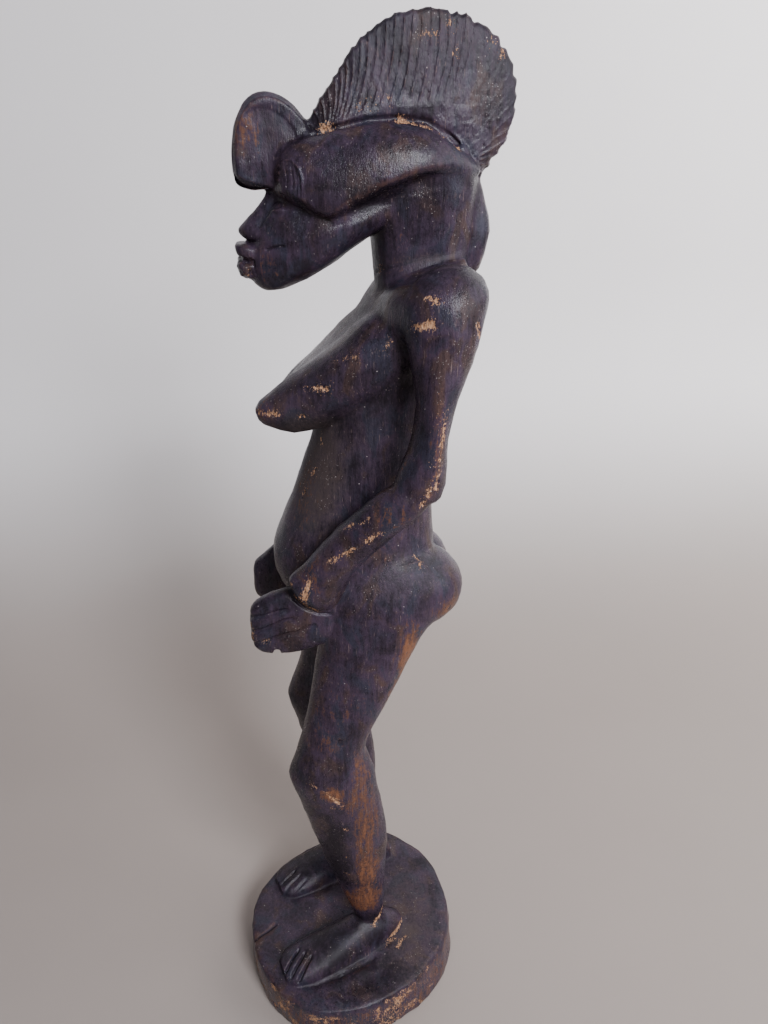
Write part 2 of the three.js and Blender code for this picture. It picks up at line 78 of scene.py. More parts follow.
def rows_through(stations, pitch):
    """Centres and reaches along a smooth centripetal curve through the stations, about a pitch apart."""
    padded = with_ends([list(centre) + list(reach) for centre, reach in stations])
    gaps = np.maximum(np.linalg.norm(np.diff(padded, axis=0), axis=1), 1e-6)
    knots = np.concatenate([[0], np.cumsum(np.sqrt(gaps))])
    rows = []
    for i in range(1, len(padded) - 2):
        p0, p1, p2, p3 = padded[i - 1:i + 3]
        t0, t1, t2, t3 = knots[i - 1:i + 3]
        m1 = (t2 - t1) * ((p1 - p0) / (t1 - t0) - (p2 - p0) / (t2 - t0) + (p2 - p1) / (t2 - t1))
        m2 = (t2 - t1) * ((p2 - p1) / (t2 - t1) - (p3 - p1) / (t3 - t1) + (p3 - p2) / (t3 - t2))
        steps = max(1, int(math.ceil(gaps[i] / pitch)))
        rows += [hermite(w, p1, m1, p2, m2) for w in np.arange(steps) / steps]
    rows = np.array(rows + [padded[-2]])
    return rows[:, :3], rows[:, 3:]


def closed_skin(rows):
    """Vertices and faces of a closed skin through rows of points, each with the same number."""
    rows = np.asarray(rows, float)
    count, sides = rows.shape[:2]
    verts = rows.reshape(-1, 3)
    a = np.arange(sides)
    b = (a + 1) % sides
    faces = []
    for k in range(count - 1):
        lower, upper = k * sides, (k + 1) * sides
        faces += [(lower + i, lower + j, upper + j, upper + i) for i, j in zip(a, b)]
    for k, turned in ((0, True), (count - 1, False)):
        centre = len(verts)
        verts = np.vstack([verts, rows[k].mean(0)])
        for i, j in zip(a + k * sides, b + k * sides):
            faces.append((j, i, centre) if turned else (i, j, centre))
    return verts, faces


def limb(stations, squareness=2.0, fore_squareness=None, cut="level", corners=64, pitch=1.6):
    """A closed skin round a line of stations, sliced level, facing forward, sideways or across the line.

    A squareness of 2 is an ellipse, less than 2 comes to a ridge on either side, more is boxier. The
    fore half of a slice (front, or underside of a slice that faces forward) can have its own.
    """
    centres, reaches = rows_through(stations, pitch)
    along = np.gradient(centres, axis=0)
    along /= np.linalg.norm(along, axis=1)[:, None]
    angle = (np.arange(corners) + 0.5) / corners * 2 * np.pi
    power = np.where(np.sin(angle) > 0, 2 / (fore_squareness or squareness), 2 / squareness)
    cos = np.sign(np.cos(angle)) * np.abs(np.cos(angle)) ** power
    sin = np.sign(np.sin(angle)) * np.abs(np.sin(angle)) ** power
    rows = []
    for centre, reach, way in zip(centres, reaches, along):
        side = np.array([1.0, 0, 0])
        fore = np.array([0, 0, -1.0]) if cut == "facing" else np.array([0, -1.0, 0])
        if cut == "across":
            side = side - way * way[0]
            side /= np.linalg.norm(side)
            fore = np.cross(side, way)
        if cut == "sideways":
            side, fore = np.array([0, 1.0, 0]), np.array([0, 0, 1.0])
        depth = np.where(sin > 0, reach[1], reach[2]) * sin
        rows.append(centre + np.outer(cos * reach[0], side) + np.outer(depth, fore))
    return closed_skin(rows)


def level(z, front, back, half, x=0.0):
    depth = (back - front) / 2
    return (x, (front + back) / 2, z), (half, depth, depth)


def facing(y, low, widest, high, half, x=0.0):
    return (x, y, widest), (half, widest - low, high - widest)


def across(x, y, z, half, fore, aft):
    return (x, y, z), (half, fore, aft)


def slices(kind, *rows):
    """Stations of one kind, level, facing or across, from rows of their numbers."""
    return [kind(*row) for row in rows]


def on_side(stations, side):
    return [((c[0] * side, c[1], c[2]), r) for c, r in stations]


def lowered(stations, drop):
    return [((c[0], c[1], c[2] - drop), r) for c, r in stations]


def ball(x, y, z, rx, ry, rz):
    tilt = np.linspace(-90, 90, 25)[1:-1]
    return limb([((x, y, z + rz * math.sin(math.radians(t))),
                  (rx * math.cos(math.radians(t)),) + (ry * math.cos(math.radians(t)),) * 2)
                 for t in tilt], pitch=50)


# The base: a chopped disc, a circle with a few shallow lobes, flaring out at the foot

BASE_RADIUS = 71.7
BASE_FLARE = 4
BASE_FLARE_ANGLE = math.radians(75)
BASE_LOBES = [(1, 2.6, 130), (2, 3.7, -50), (3, 0.8, 13), (4, 1.3, -23)]


def base_radius(angle):
    radius = np.full_like(angle, float(BASE_RADIUS))
    for waves, height, turn in BASE_LOBES:
        radius += height * np.cos(waves * (angle - math.radians(turn)))
    return radius


def chops(angle, count, depth, seed):
    """Flat cuts of uneven width and depth round the wall."""
    rng = np.random.default_rng(seed)
    ends = (np.arange(count) + rng.uniform(-0.3, 0.3, count)) / count * 2 * np.pi
    return np.interp(angle, ends, rng.uniform(-depth, depth, count), period=2 * np.pi)


def base():
    angle = np.linspace(0, 2 * np.pi, 360, endpoint=False)
    to_flare = np.maximum(0, np.cos(angle - BASE_FLARE_ANGLE))
    upper, lower = chops(angle, 34, 0.8, 3), chops(angle, 27, 0.8, 4)
    rows = []
    for z, out, flare in [(0, -1.2, 1), (0.7, -0.4, 1), (2, 0.2, 0.95), (6, 0.6, 0.75), (11, 0.8, 0.55),
                          (14, 0.9, 0.45), (22, 0.9, 0.2), (BASE_HEIGHT - 4, 0.8, 0.03),
                          (BASE_HEIGHT - 2, 0.6, 0), (BASE_HEIGHT - 0.8, 0.1, 0), (BASE_HEIGHT, -0.8, 0)]:
        radius = base_radius(angle) + out + BASE_FLARE * flare * to_flare
        radius += lower if z < 12 else upper
        x = np.cos(angle) * radius - FIGURE_SHIFT
        rows.append(np.stack([x, np.sin(angle) * radius, np.full_like(angle, z)], 1))
    return closed_skin(rows)


# Legs

LEFT_FOOT = dict(heel=(18, 37), ball=(35.5, -8), toe=(49, -48.5),
                 toes=(51, -39), turn=52, toe_depth=2.8)
RIGHT_FOOT = dict(heel=(-42, 37), ball=(-35, -8), toe=(-18.5, -51.5),
                  toes=(-14.5, -42), turn=36, toe_depth=1.1)
# Shares of the way from the heel to the toes, with the half width and the height above the base
FOOT_PROFILE = [(0, 6, 7), (0.08, 10, 13), (0.24, 13.2, 21), (0.45, 15, 19),
                (0.65, 15.8, 13.5), (0.82, 15.6, 10), (0.94, 13.4, 7.5), (1, 8, 5)]
FOOT_SUNK = 2


def foot(side):
    line = LEFT_FOOT if side > 0 else RIGHT_FOOT
    shares, halves, heights = np.array(FOOT_PROFILE).T
    bones = even_curve([(*line[part], BASE_HEIGHT) for part in ("heel", "ball", "toe")], shares)
    return limb([(place, (half, FOOT_SUNK, high)) for place, half, high in zip(bones, halves, heights)],
                squareness=2.3, cut="across")


ANKLE_HEIGHT = 40
KNEE_HEIGHT = 205
KNEE_SPREAD = 37
ANKLE_SPREAD = {1: 22, -1: 36}
# Heights with the front, the back and the half width of the shin
SHIN_PROFILE = [
    (ANKLE_HEIGHT - 6, 6, 23, 9.5), (ANKLE_HEIGHT + 6, 5, 23.5, 9.5), (63, 1.3, 24.3, 10),
    (80, -4, 25, 11.5), (98, -8.6, 25, 13), (120, -14.5, 25.5, 14.5), (142, -19.7, 25.8, 15.5),
    (168, -25.5, 23, 16.3), (188, -29.8, 19.3, 17), (207, -34.2, 17, 17.2), (214, -31, 14, 16.5),
]


def shin(side):
    stations = []
    for z, front, back, half in SHIN_PROFILE:
        up = (z - ANKLE_HEIGHT) / (KNEE_HEIGHT - ANKLE_HEIGHT)
        spread = ANKLE_SPREAD[side] + (KNEE_SPREAD - ANKLE_SPREAD[side]) * up
        stations.append(level(z, front, back, half, side * spread))
    return limb(stations, squareness=2.2)


def thigh(side):
    return limb(on_side(slices(level,
        (194, -30, 17, 14, 36.5), (201, -32.6, 17, 16.4, 37), (207.5, -34.6, 16.3, 17, 37),
        (214, -32.6, 14.6, 17.2, 37), (224, -29, 12, 17, 36.5), (237, -25, 15, 17.3, 35.3),
        (258, -20, 26, 19, 32), (280, -15.5, 37, 21, 28), (298, -13, 46.5, 22.5, 25),
        (315, -14, 57, 23.5, 23), (332, -15, 60, 22, 21), (348, -8, 50, 17, 20),
    ), side), squareness=2.2)


def buttock(side):
    return ball(15.5, 41.5, 323.5, 25, 29.7, 25) if side > 0 else ball(-15.5, 40, 321, 24.5, 28.5, 24.5)


# Body


def torso():
    return limb(slices(level,
        (303, 4, 40, 16), (312, -18, 46, 27), (322, -30, 50, 34), (334, -35, 54, 37.5),
        (347, -35, 56, 38), (361, -30, 55, 35.5), (380, -22, 54.5, 33.5), (411, -10.7, 56.5, 34),
        (440, -1, 60, 37), (462, 8, 64, 41), (477, 16, 67, 47), (488, 25, 68, 50), (494, 31.5, 68, 44),
        (498.5, 42, 67.5, 33), (502, 54, 66, 22),
    ), squareness=2.1, corners=96)


def chest():
    """The slope from the neck to the breasts, which fills the valley between them."""
    return limb(slices(facing,
        (35, 450, 472, 487, 34), (17, 440, 460, 476.5, 31), (1, 434, 449, 462.5, 26),
        (-10, 431, 441, 451.5, 20), (-20, 430, 436, 443, 12), (-25, 431, 434, 437, 6),
    ), squareness=2.8, cut="facing")


RIGHT_SHOULDER_DROP = 8


def shoulder_front(side):
    """The slope from the chest to the upper arm, over the slit at the armpit."""
    drop = 0 if side > 0 else RIGHT_SHOULDER_DROP
    return limb(on_side(lowered(slices(across,
        (20, 32, 476, 11, 15, 12), (38, 37, 479, 13, 16, 13), (53, 43, 483, 12, 15, 12),
    ), drop), side), squareness=2.3, cut="sideways")


RIGHT_BREAST_DROP = 6
RIGHT_BREAST_SHORTER = 5


def breast(side):
    drop, shorter = (0, 0) if side > 0 else (RIGHT_BREAST_DROP, RIGHT_BREAST_SHORTER)
    return limb(on_side(lowered(slices(across,
        (15.5, -38 + shorter, 429.2, 3, 3, 3.4), (15.5, -34.7 + shorter, 430, 6.5, 6, 8),
        (16, -25 + shorter, 433.8, 10.5, 9, 16.2), (17.5, -11 + shorter / 2, 440.8, 14.5, 12, 20.2),
        (20, 8, 449.5, 18.5, 16, 21.5), (23, 26, 460, 20.5, 20, 23), (24, 44, 472, 19, 19, 22),
    ), drop), side), squareness=1.6, fore_squareness=2.3, cut="across")


def upper_arm(side):
    return limb(on_side(slices(level,
        (396.5, 38, 46, 5, 56), (399, 33, 49, 8.5, 56), (405, 26, 51, 10.3, 56),
        (413, 28, 51.3, 10.6, 56), (427, 33.5, 51.3, 10.6, 56), (440, 35.5, 53.5, 11, 55.5),
        (451, 35.5, 57, 11.7, 54.5), (465, 33, 62, 12.8, 52.5), (481, 30.5, 67, 14.3, 50),
        (491, 31, 68.6, 14.5, 48), (498, 36, 67, 12, 46.5), (503.5, 46, 60, 6, 44.5),
    ), side), squareness=1.8)


def forearm(side):
    return limb(on_side(slices(across,
        (40, -18.8, 333.6, 4.5, 6, 6), (40, -17.8, 334.8, 7.5, 11.5, 11.5),
        (40.3, -15, 338.2, 9, 15, 15), (41.5, -9, 347, 9.6, 13.6, 13.4), (44, -1, 360, 10, 11.9, 11.7),
        (48, 10, 374, 10.3, 11.5, 11.5), (52, 21, 386, 10.5, 11.3, 11.2), (55, 32, 396, 10.4, 10.8, 10),
        (56, 39, 402, 9, 8.5, 8),
    ), side), squareness=1.85, cut="across")


HAND_OUT = 29
RIGHT_HAND_DROP = 3


def hand(side):
    drop = 0 if side > 0 else RIGHT_HAND_DROP
    return limb(on_side(lowered(slices(facing,
        (4, 312, 320, 329, 6, HAND_OUT + 5), (-11, 299.5, 318, 337, 7.2, HAND_OUT + 3.5),
        (-24, 294.3, 314.5, 336.5, 7.4, HAND_OUT + 1.8), (-34, 293.3, 312, 333, 7.2, HAND_OUT + 0.8),
        (-43, 293.8, 310, 329 - drop, 6.8, HAND_OUT), (-48.3, 297.3, 310, 324.5 - drop, 5.2, HAND_OUT),
        (-50, 302, 310, 317.5 - drop / 2, 2.5, HAND_OUT),
    ), drop), side), squareness=2.6, cut="facing")


# Neck and head


def neck():
    return limb(slices(level,
        (482, 24, 67, 22), (492, 23, 68, 20), (506, 22, 69, 19), (520, 21, 70, 20.5),
        (536, 21, 70.5, 22), (550, 26, 65, 18),
    ), squareness=2.5)


def nape_lock():
    return limb(slices(level,
        (490, 58, 71, 4), (496, 59, 75, 6.5), (505, 60, 78, 8), (514, 60, 79, 8), (525, 60, 76.5, 7.5),
        (535, 60, 73.5, 6.5), (541, 58, 70, 3.5),
    ), squareness=2.4)


def skull():
    return limb(slices(facing,
        (-20.5, 527, 538, 546, 6), (-13, 520, 538, 553, 10.5), (0, 513, 538, 558, 12.5),
        (15, 515, 538, 562, 13.2), (30, 515, 538, 564.5, 13.2), (46, 514, 538, 563, 13.2),
        (58, 514, 538, 556, 12), (66, 515, 537, 548.5, 10.5), (70.5, 525, 535, 542, 7),
    ), squareness=3, cut="facing")


def head_side(side):
    return limb(on_side(slices(facing,
        (-21.5, 530, 536, 544, 5.5, 6.5), (-18, 527, 534, 549, 9, 8.5),
        (-10, 522.5, 529, 552.5, 12.5, 10.5), (0, 518, 525, 555.5, 15, 12),
        (14, 521.5, 532, 558, 16.4, 13), (29, 528, 538.5, 559, 17, 13.5), (44, 533, 543, 557.5, 17, 12),
        (56, 535, 542.5, 552, 14.5, 9.5), (65, 534.5, 540.5, 546.5, 10, 7),
        (70.5, 536.5, 539.5, 542, 5, 5.5),
    ), side), squareness=2.1, fore_squareness=1.35, cut="facing")


def jaw():
    return limb(slices(facing,
        (-36.5, 492.5, 498, 504, 5), (-33.5, 489.3, 499, 510, 9.5), (-28.5, 487, 501, 520, 13),
        (-19, 488.4, 505, 531, 17), (-9, 492.8, 509, 533, 20), (2, 499, 514, 535, 22),
        (14, 507.5, 520, 538, 22.5), (25, 513.5, 524, 540, 20), (36, 517, 527, 540, 17),
    ), squareness=2.3, cut="facing")


def nose():
    return limb(slices(level,
        (509.8, -36, -20, 6), (511.8, -39.3, -20, 7.2), (514.5, -40.8, -20, 7), (519, -36.6, -18, 5.6),
        (525, -31, -16, 4.6), (532, -26.5, -12, 4.4), (540, -26, -10, 6),
    ), squareness=1.7)


def upper_lip():
    return limb(slices(facing,
        (-42.6, 506.4, 508, 508.9, 5), (-41.6, 503.8, 507.5, 509.1, 7), (-39, 502, 506.5, 509.2, 8.5),
        (-34, 501, 505, 509, 9.3), (-26, 501, 505, 509, 9),
    ), squareness=3, cut="facing", pitch=0.8)


def lower_lip():
    return limb(slices(facing,
        (-42.2, 495.8, 498.6, 501.6, 5), (-40.6, 493.8, 498, 502.2, 7.5), (-36, 492.3, 497, 502.4, 8.8),
        (-28, 491, 497, 502.4, 9),
    ), squareness=2.6, cut="facing", pitch=0.8)


# The lock over the forehead: a flat lobe in the middle plane with a straight lower edge and bevelled rim

LOBE_MIDDLE = np.array([-19.0, 549.0])
LOBE_ROWS = [(-7.2, 0.86), (-6.7, 0.9), (-3.5, 0.985), (0, 1), (3.5, 0.985), (6.7, 0.9), (7.2, 0.86)]


def bezier(points, steps=14):
    """Places along a Bezier curve with any number of control points, its end left out."""
    t = np.linspace(0, 1, steps, endpoint=False)[:, None]
    points = [np.array(point, float) for point in points]
    while len(points) > 1:
        points = [a * (1 - t) + b * t for a, b in zip(points, points[1:])]
    return points[0]


def forehead_lobe():
    outline = np.vstack([
        bezier([(-3, 533), (-32, 531.8)]),
        bezier([(-32, 531.8), (-40, 532.4), (-40.6, 536)]),
        bezier([(-40.6, 536), (-43, 553), (-37.5, 571.7), (-25, 571.7)]),
        bezier([(-25, 571.7), (-17.5, 571.7), (-12, 567), (-7.2, 560.9)]),
        bezier([(-7.2, 560.9), (-3, 552)]),
        bezier([(-3, 552), (-3, 533)]),
    ])
    rows = []
    for x, size in LOBE_ROWS:
        yz = LOBE_MIDDLE + (outline - LOBE_MIDDLE) * size
        rows.append(np.column_stack([np.full(len(yz), x), yz]))
    return closed_skin(rows)


# The crest: a fan of flutes in the middle plane, from the root line on the head to the scalloped rim

FLUTE_COUNT = 33
FLUTE_DEPTH = 0.65
RIDGE_THINNESS = 6
TOOTH_THINNESS = 1.5
FLUTE_SCALLOP = 1.0
FLUTE_BOW = 2.2
FLUTE_SWEEP = 4
CREST_RIM = [(-7.2, 561), (5, 576.5), (17.5, 592.3), (37, 602.6), (58.5, 602.3),
             (78.5, 592.8), (88, 573.5), (85, 553), (73.6, 536.5)]
CREST_ROOT = [(-6, 552), (-0.5, 555.5), (9.5, 558.3), (29, 563.6), (48, 561.5),
              (55.5, 557.6), (61, 553.6), (66.3, 547.8), (70, 541.5)]
CREST_HALVES = [(0.0, 9.3), (0.12, 9.0), (0.22, 8.5), (0.35, 7.9), (0.5, 7.2), (0.65, 6.5), (0.8, 5.7),
                (0.94, 4.9)]
HEAD_HEART = np.array([0, 34, 528.0])
# The crest's root inside the head, and the two steps of its rounded rim, with the half width of each
CREST_SUNK, CREST_SUNK_HALF = 8, 9.2
RIM_HALF = 3.9
RIM_CAP, RIM_CAP_HALF = 0.9, 2.2
# How uneven a flute is before wear has notched its end
NOTCH_FROM = 1.2


def crest_line(points, shares):
    return even_curve([(0, y, z) for y, z in points], shares)


# Some flutes, counted from the front, with their shares of the way along the rim and along the root
FLUTE_PLACES = [(0, 0, 0), (4, 0.133, 0.133), (8, 0.25, 0.25), (13, 0.37, 0.37), (21, 0.549, 0.58),
                (27, 0.77, 0.87), (FLUTE_COUNT, 1, 1)]
# Where flutes start, as a share of the way to the rim, and how much of their depth wear has left
FLUTE_START = [(0, 0.02), (16, 0.04), (19, 0.12), (22, 0.3), (25, 0.2), (28, 0.06), (33, 0.02)]
FLUTE_LEFT = [(0, 1.2), (4, 1.3), (19, 1), (21, 0.7), (22.5, 0.4), (26, 0.3), (28, 0.7), (29.5, 1.3),
              (33, 1.2)]
FLUTES_RADIAL = (23, 28)
FLUTE_UNEVEN = np.random.default_rng(5).normal(0, 1, FLUTE_COUNT * 2 + 1)


def by_flute(flute, pairs):
    return np.interp(flute, *np.array(pairs, float).T)


def crest_place(flute, share):
    """The place in the middle plane along a flute at a share of the way from the root to the rim."""
    number, rim_share, root_share = np.array(FLUTE_PLACES, float).T
    foot = crest_line(CREST_ROOT, np.interp(flute, number, root_share))
    edge = crest_line(CREST_RIM, np.interp(flute, number, rim_share))
    outward = edge - foot
    length = np.linalg.norm(outward, axis=1)
    outward /= length[:, None]
    bow = FLUTE_BOW * (1 - np.clip((flute - FLUTES_RADIAL[0]) / np.ptp(FLUTES_RADIAL), 0, 1))
    place = foot + outward * (1 + (length - 2) * share)[:, None]
    place[:, 1] += bow * 4 * share * (1 - share)
    return place, outward


def flute_ridge(flute, thinness):
    """One on the ridge between two flutes, nought along the middle of each gouged hollow."""
    return np.abs(2 * np.mod(flute, 1) - 1) ** thinness


def crest():
    """The blade of the crest with its worn, scalloped rim."""
    flute = np.linspace(0, FLUTE_COUNT, FLUTE_COUNT * 8 + 1)
    uneven = np.interp(flute, np.arange(len(FLUTE_UNEVEN)) / 2, FLUTE_UNEVEN)
    deep = -0.8 * (np.abs(uneven) - 0.6) * (0.4 + flute / FLUTE_COUNT)
    notch = np.where(np.abs(uneven) > NOTCH_FROM, deep, 0)
    tooth = flute_ridge(flute, TOOTH_THINNESS) - 1
    height = FLUTE_SCALLOP * tooth * (0.7 + 0.4 * np.roll(uneven, 20)) + 0.4 * uneven + notch
    foot = crest_place(flute, np.zeros_like(flute))[0]
    inward = HEAD_HEART - foot
    inward /= np.linalg.norm(inward, axis=1)[:, None]
    columns = [(foot + inward * CREST_SUNK, CREST_SUNK_HALF)]
    for share, half in CREST_HALVES:
        columns.append((crest_place(flute, np.full_like(flute, share))[0], half))
    rim, outward = crest_place(flute, np.ones_like(flute))
    columns.append((rim + outward * height[:, None], RIM_HALF))
    columns.append((rim + outward * (height + RIM_CAP)[:, None], RIM_CAP_HALF))
    rows = []
    for i in range(len(flute)):
        row = [place[i] + [half, 0, 0] for place, half in columns]
        row += [place[i] - [half, 0, 0] for place, half in reversed(columns)]
        rows.append(np.array(row))
    return closed_skin(rows)


CREST_MAP_CELL = 0.5
CREST_MAP_LOW = np.array([-16.0, 528.0])
CREST_MAP_SIZE = (230, 170)


def crest_shares(co):
    """For places beside the crest: the flute, the share of the way to its rim, and if it is there."""
    flute, share = np.meshgrid(np.linspace(-0.3, FLUTE_COUNT + 0.3, 1500), np.linspace(-0.05, 1.06, 260))
    flute, share = flute.ravel(), share.ravel()
    place = crest_place(flute, share)[0][:, 1:]
    cell = np.floor((place - CREST_MAP_LOW) / CREST_MAP_CELL).astype(int)
    cell = np.clip(cell, 0, np.array(CREST_MAP_SIZE) - 1)
    flat = cell[:, 0] * CREST_MAP_SIZE[1] + cell[:, 1]
    cells = CREST_MAP_SIZE[0] * CREST_MAP_SIZE[1]
    count = np.bincount(flat, minlength=cells)
    maps = [(np.bincount(flat, values, cells) / np.maximum(count, 1)).reshape(CREST_MAP_SIZE)
            for values in (flute, share)]
    filled = (count > 0).reshape(CREST_MAP_SIZE)
    spot = (co[:, 1:] - CREST_MAP_LOW) / CREST_MAP_CELL - 0.5
    low = np.clip(np.floor(spot).astype(int), 0, np.array(CREST_MAP_SIZE) - 2)
    w = np.clip(spot - low, 0, 1)
    found = np.ones(len(co), bool)
    shares = [np.zeros(len(co)), np.zeros(len(co))]
    for di, dj in np.ndindex(2, 2):
        i, j = low[:, 0] + di, low[:, 1] + dj
        part = (w[:, 0] if di else 1 - w[:, 0]) * (w[:, 1] if dj else 1 - w[:, 1])
        found &= filled[i, j]
        for total, values in zip(shares, maps):
            total += part * values[i, j]
    return shares[0], shares[1], found


def cut_flutes(co, normals):
    """Cut the grooves of the fan into both faces and the rim of the crest."""
    near = np.flatnonzero(in_box(co, (-11, -16, 530), (11, 96, 606)))
    flute, share, found = crest_shares(co[near])
    near, flute, share = near[found], flute[found], share[found]
    place = co[near]
    left = by_flute(flute, FLUTE_LEFT) * (1 + 0.35 * field_noise(place, (20, 5, 9), 42))
    start = by_flute(flute, FLUTE_START)
    swept = flute - FLUTE_SWEEP * np.clip(1 - flute / 8, 0, 1) * (1 - share) ** 4
    swept += 0.13 * field_noise(place, (30, 9, 14), 41) + 0.07 * field_noise(place, (30, 1.8, 3), 43)
    ridge = flute_ridge(swept, RIDGE_THINNESS) * (0.75 + 0.55 * field_noise(place, (8, 1.8, 2.6), 44))
    depth = FLUTE_DEPTH * left * (0.75 - ridge) * ease((share - start) / (0.08 + start))
    along = np.column_stack([flute, share, np.sign(place[:, 0])])
    depth += 0.1 * field_noise(along, (0.17, 0.16, 0.7), 46) + 0.1 * field_noise(place, (8, 1.3, 1.3), 45)
    near_rim = ease((share - 0.93) / 0.05)
    co[near] -= normals[near] * (depth * (1 - 0.6 * near_rim))[:, None]


BAND_RIDGE = [(7, -7.5, 554), (7.7, 5.5, 559.4), (8.4, 17, 562.2), (8, 30, 563.5), (7.7, 44, 562.8),
              (8, 54, 557.5), (9.2, 62, 550.6), (11.2, 66.5, 544)]
BAND_RIDGE_RADIUS = 1.1


def band_ridge(side):
    """The thin raised roll under the flutes, tapering at both ends."""
    last = len(BAND_RIDGE) - 1
    radii = [BAND_RIDGE_RADIUS * (0.45 if i in (0, last) else 1) for i in range(last + 1)]
    return limb([across(x * side, y, z, *(radius,) * 3) for (x, y, z), radius in zip(BAND_RIDGE, radii)],
                cut="across", corners=20, pitch=0.8)


# The whole carving as one skin


def all_forms():
    single = (base, torso, chest, neck, nape_lock, skull, jaw, nose, upper_lip, lower_lip, forehead_lobe,
              crest)
    paired = (foot, shin, thigh, buttock, breast, shoulder_front, upper_arm, forearm, hand, head_side,
              band_ridge)
    return [make() for make in single] + [make(side) for side in (1, -1) for make in paired]


def mesh_from(verts, faces, name):
    mesh = bpy.data.meshes.new(name)
    mesh.from_pydata([tuple(v) for v in verts], [], [tuple(f) for f in faces])
    mesh.validate()
    return mesh


def link(mesh, name):
    made = bpy.data.objects.new(name, mesh)
    bpy.context.scene.collection.objects.link(made)
    return made


def applied(thing):
    """The object's mesh with its modifiers applied."""
    graph = bpy.context.evaluated_depsgraph_get()
    made = bpy.data.meshes.new_from_object(thing.evaluated_get(graph))
    thing.modifiers.clear()
    old = thing.data
    thing.data = made
    bpy.data.meshes.remove(old)
    return thing


def melted_skin():
    verts, faces = [], []
    offset = 0
    for form_verts, form_faces in all_forms():
        placed = np.array(form_verts, float)
        placed[:, 0] += FIGURE_SHIFT
        verts.append(placed * MM)
        faces += [tuple(int(i) + offset for i in face) for face in form_faces]
        offset += len(placed)
    skin = link(mesh_from(np.vstack(verts), faces, "figure_wood"), "figure_wood")
    melt = skin.modifiers.new("melt", "REMESH")
    melt.mode = "VOXEL"
    melt.voxel_size = VOXEL * MM
    return applied(skin)


def coordinates(mesh):
    co = np.empty(len(mesh.vertices) * 3, np.float32)
    mesh.vertices.foreach_get("co", co)
    return co.reshape(-1, 3).astype(np.float64)


def in_figure(mesh):
    """The mesh's vertices in millimetres in the figure's own frame."""
    return coordinates(mesh) / MM - [FIGURE_SHIFT, 0, 0]


def place_figure(mesh, co):
    placed = (co + [FIGURE_SHIFT, 0, 0]) * MM
    mesh.vertices.foreach_set("co", placed.astype(np.float32).ravel())
    mesh.update()


def edges_of(mesh):
    edges = np.empty(len(mesh.edges) * 2, np.int32)
    mesh.edges.foreach_get("vertices", edges)
    return edges.reshape(-1, 2)


def neighbour_mean(values, edges, valence):
    total = np.empty_like(values)
    for k in range(values.shape[1]):
        total[:, k] = (np.bincount(edges[:, 0], values[edges[:, 1], k], len(values))
                       + np.bincount(edges[:, 1], values[edges[:, 0], k], len(values)))
    return total / valence[:, None]


STEP_IN = 0.5
STEP_OUT = 0.53


def soften(co, edges, rounds):
    """Taubin smoothing: each round is a step in and a slightly larger step out."""
    valence = np.bincount(edges.ravel(), minlength=len(co)).astype(float)
    for _ in range(rounds):
        for step in (STEP_IN, -STEP_OUT):
            co = co + step * (neighbour_mean(co, edges, valence) - co)
    return co


def in_box(co, low, high):
    return np.all((co > low) & (co < high), axis=1)


def in_boxes(co, boxes):
    return np.any([in_box(co, low, high) for low, high in boxes], axis=0)


def ease(value):
    value = np.clip(value, 0, 1)
    return value * value * (3 - 2 * value)


def between(value, low, high, fade):
    """One between low and high, easing to nought over a fade inside each."""
    return ease((value - low) / fade) * ease((high - value) / fade)


def field_noise(points, pitch, seed):
    """Smooth random values from -1 to 1 over space, in lumps about a pitch across."""
    size = 32
    lattice = np.random.default_rng(seed).uniform(-1, 1, (size, size, size))
    place = points / np.asarray(pitch, float)
    low = np.floor(place).astype(int)
    w = place - low
    w = w * w * (3 - 2 * w)
    total = np.zeros(len(points))
    for corner in np.ndindex(2, 2, 2):
        share = np.prod(np.where(corner, w, 1 - w), axis=1)
        i, j, k = ((low + corner) % size).T
        total += share * lattice[i, j, k]
    return total


def nearest_on_line(points, line):
    """The nearest place to each point on a line of places, and how far along the line it is."""
    line = np.array(line, float)
    lengths = np.linalg.norm(np.diff(line, axis=0), axis=1)
    best = np.full(len(points), np.inf)
    nearest = np.zeros((len(points), 3))
    share = np.zeros(len(points))
    run = 0.0
    for a, b, length in zip(line[:-1], line[1:], lengths):
        w = np.clip((points - a) @ (b - a) / length ** 2, 0, 1)
        place = a + w[:, None] * (b - a)
        gap = np.linalg.norm(points - place, axis=1)
        closer = gap < best
        best[closer] = gap[closer]
        nearest[closer] = place[closer]
        share[closer] = (run + w[closer] * length) / lengths.sum()
        run += length
    return nearest, share


def on_other_side(line, drop=0):
    return [(-x, y, z - drop) for x, y, z in line]


CREASE_STEP = 0.6
ROUNDS_PER_NORMAL = 10


def fill_creases(mesh, co, edges, weight, rounds):
    """Round the hollow joins between forms: only what lies in a hollow moves, and only outward."""
    near = weight > 0.01
    near[edges[near[edges].any(axis=1)].ravel()] = True
    place = np.cumsum(near) - 1
    inner = place[edges[near[edges].all(axis=1)]]
    valence = np.maximum(np.bincount(inner.ravel(), minlength=near.sum()), 1).astype(float)
    weight = weight[near]
    for k in range(rounds):
        if k % ROUNDS_PER_NORMAL == 0:
            normals = vertex_normals(mesh, co)[near]
        part = co[near]
        pull = np.einsum("ij,ij->i", neighbour_mean(part, inner, valence) - part, normals)
        co[near] = part + normals * (np.maximum(pull, 0) * weight * CREASE_STEP)[:, None]
    return co


def vertex_normals(mesh, co):
    place_figure(mesh, co)
    normals = np.empty(len(co) * 3, np.float32)
    mesh.vertex_normals.foreach_get("vector", normals)
    return normals.reshape(-1, 3).astype(float)


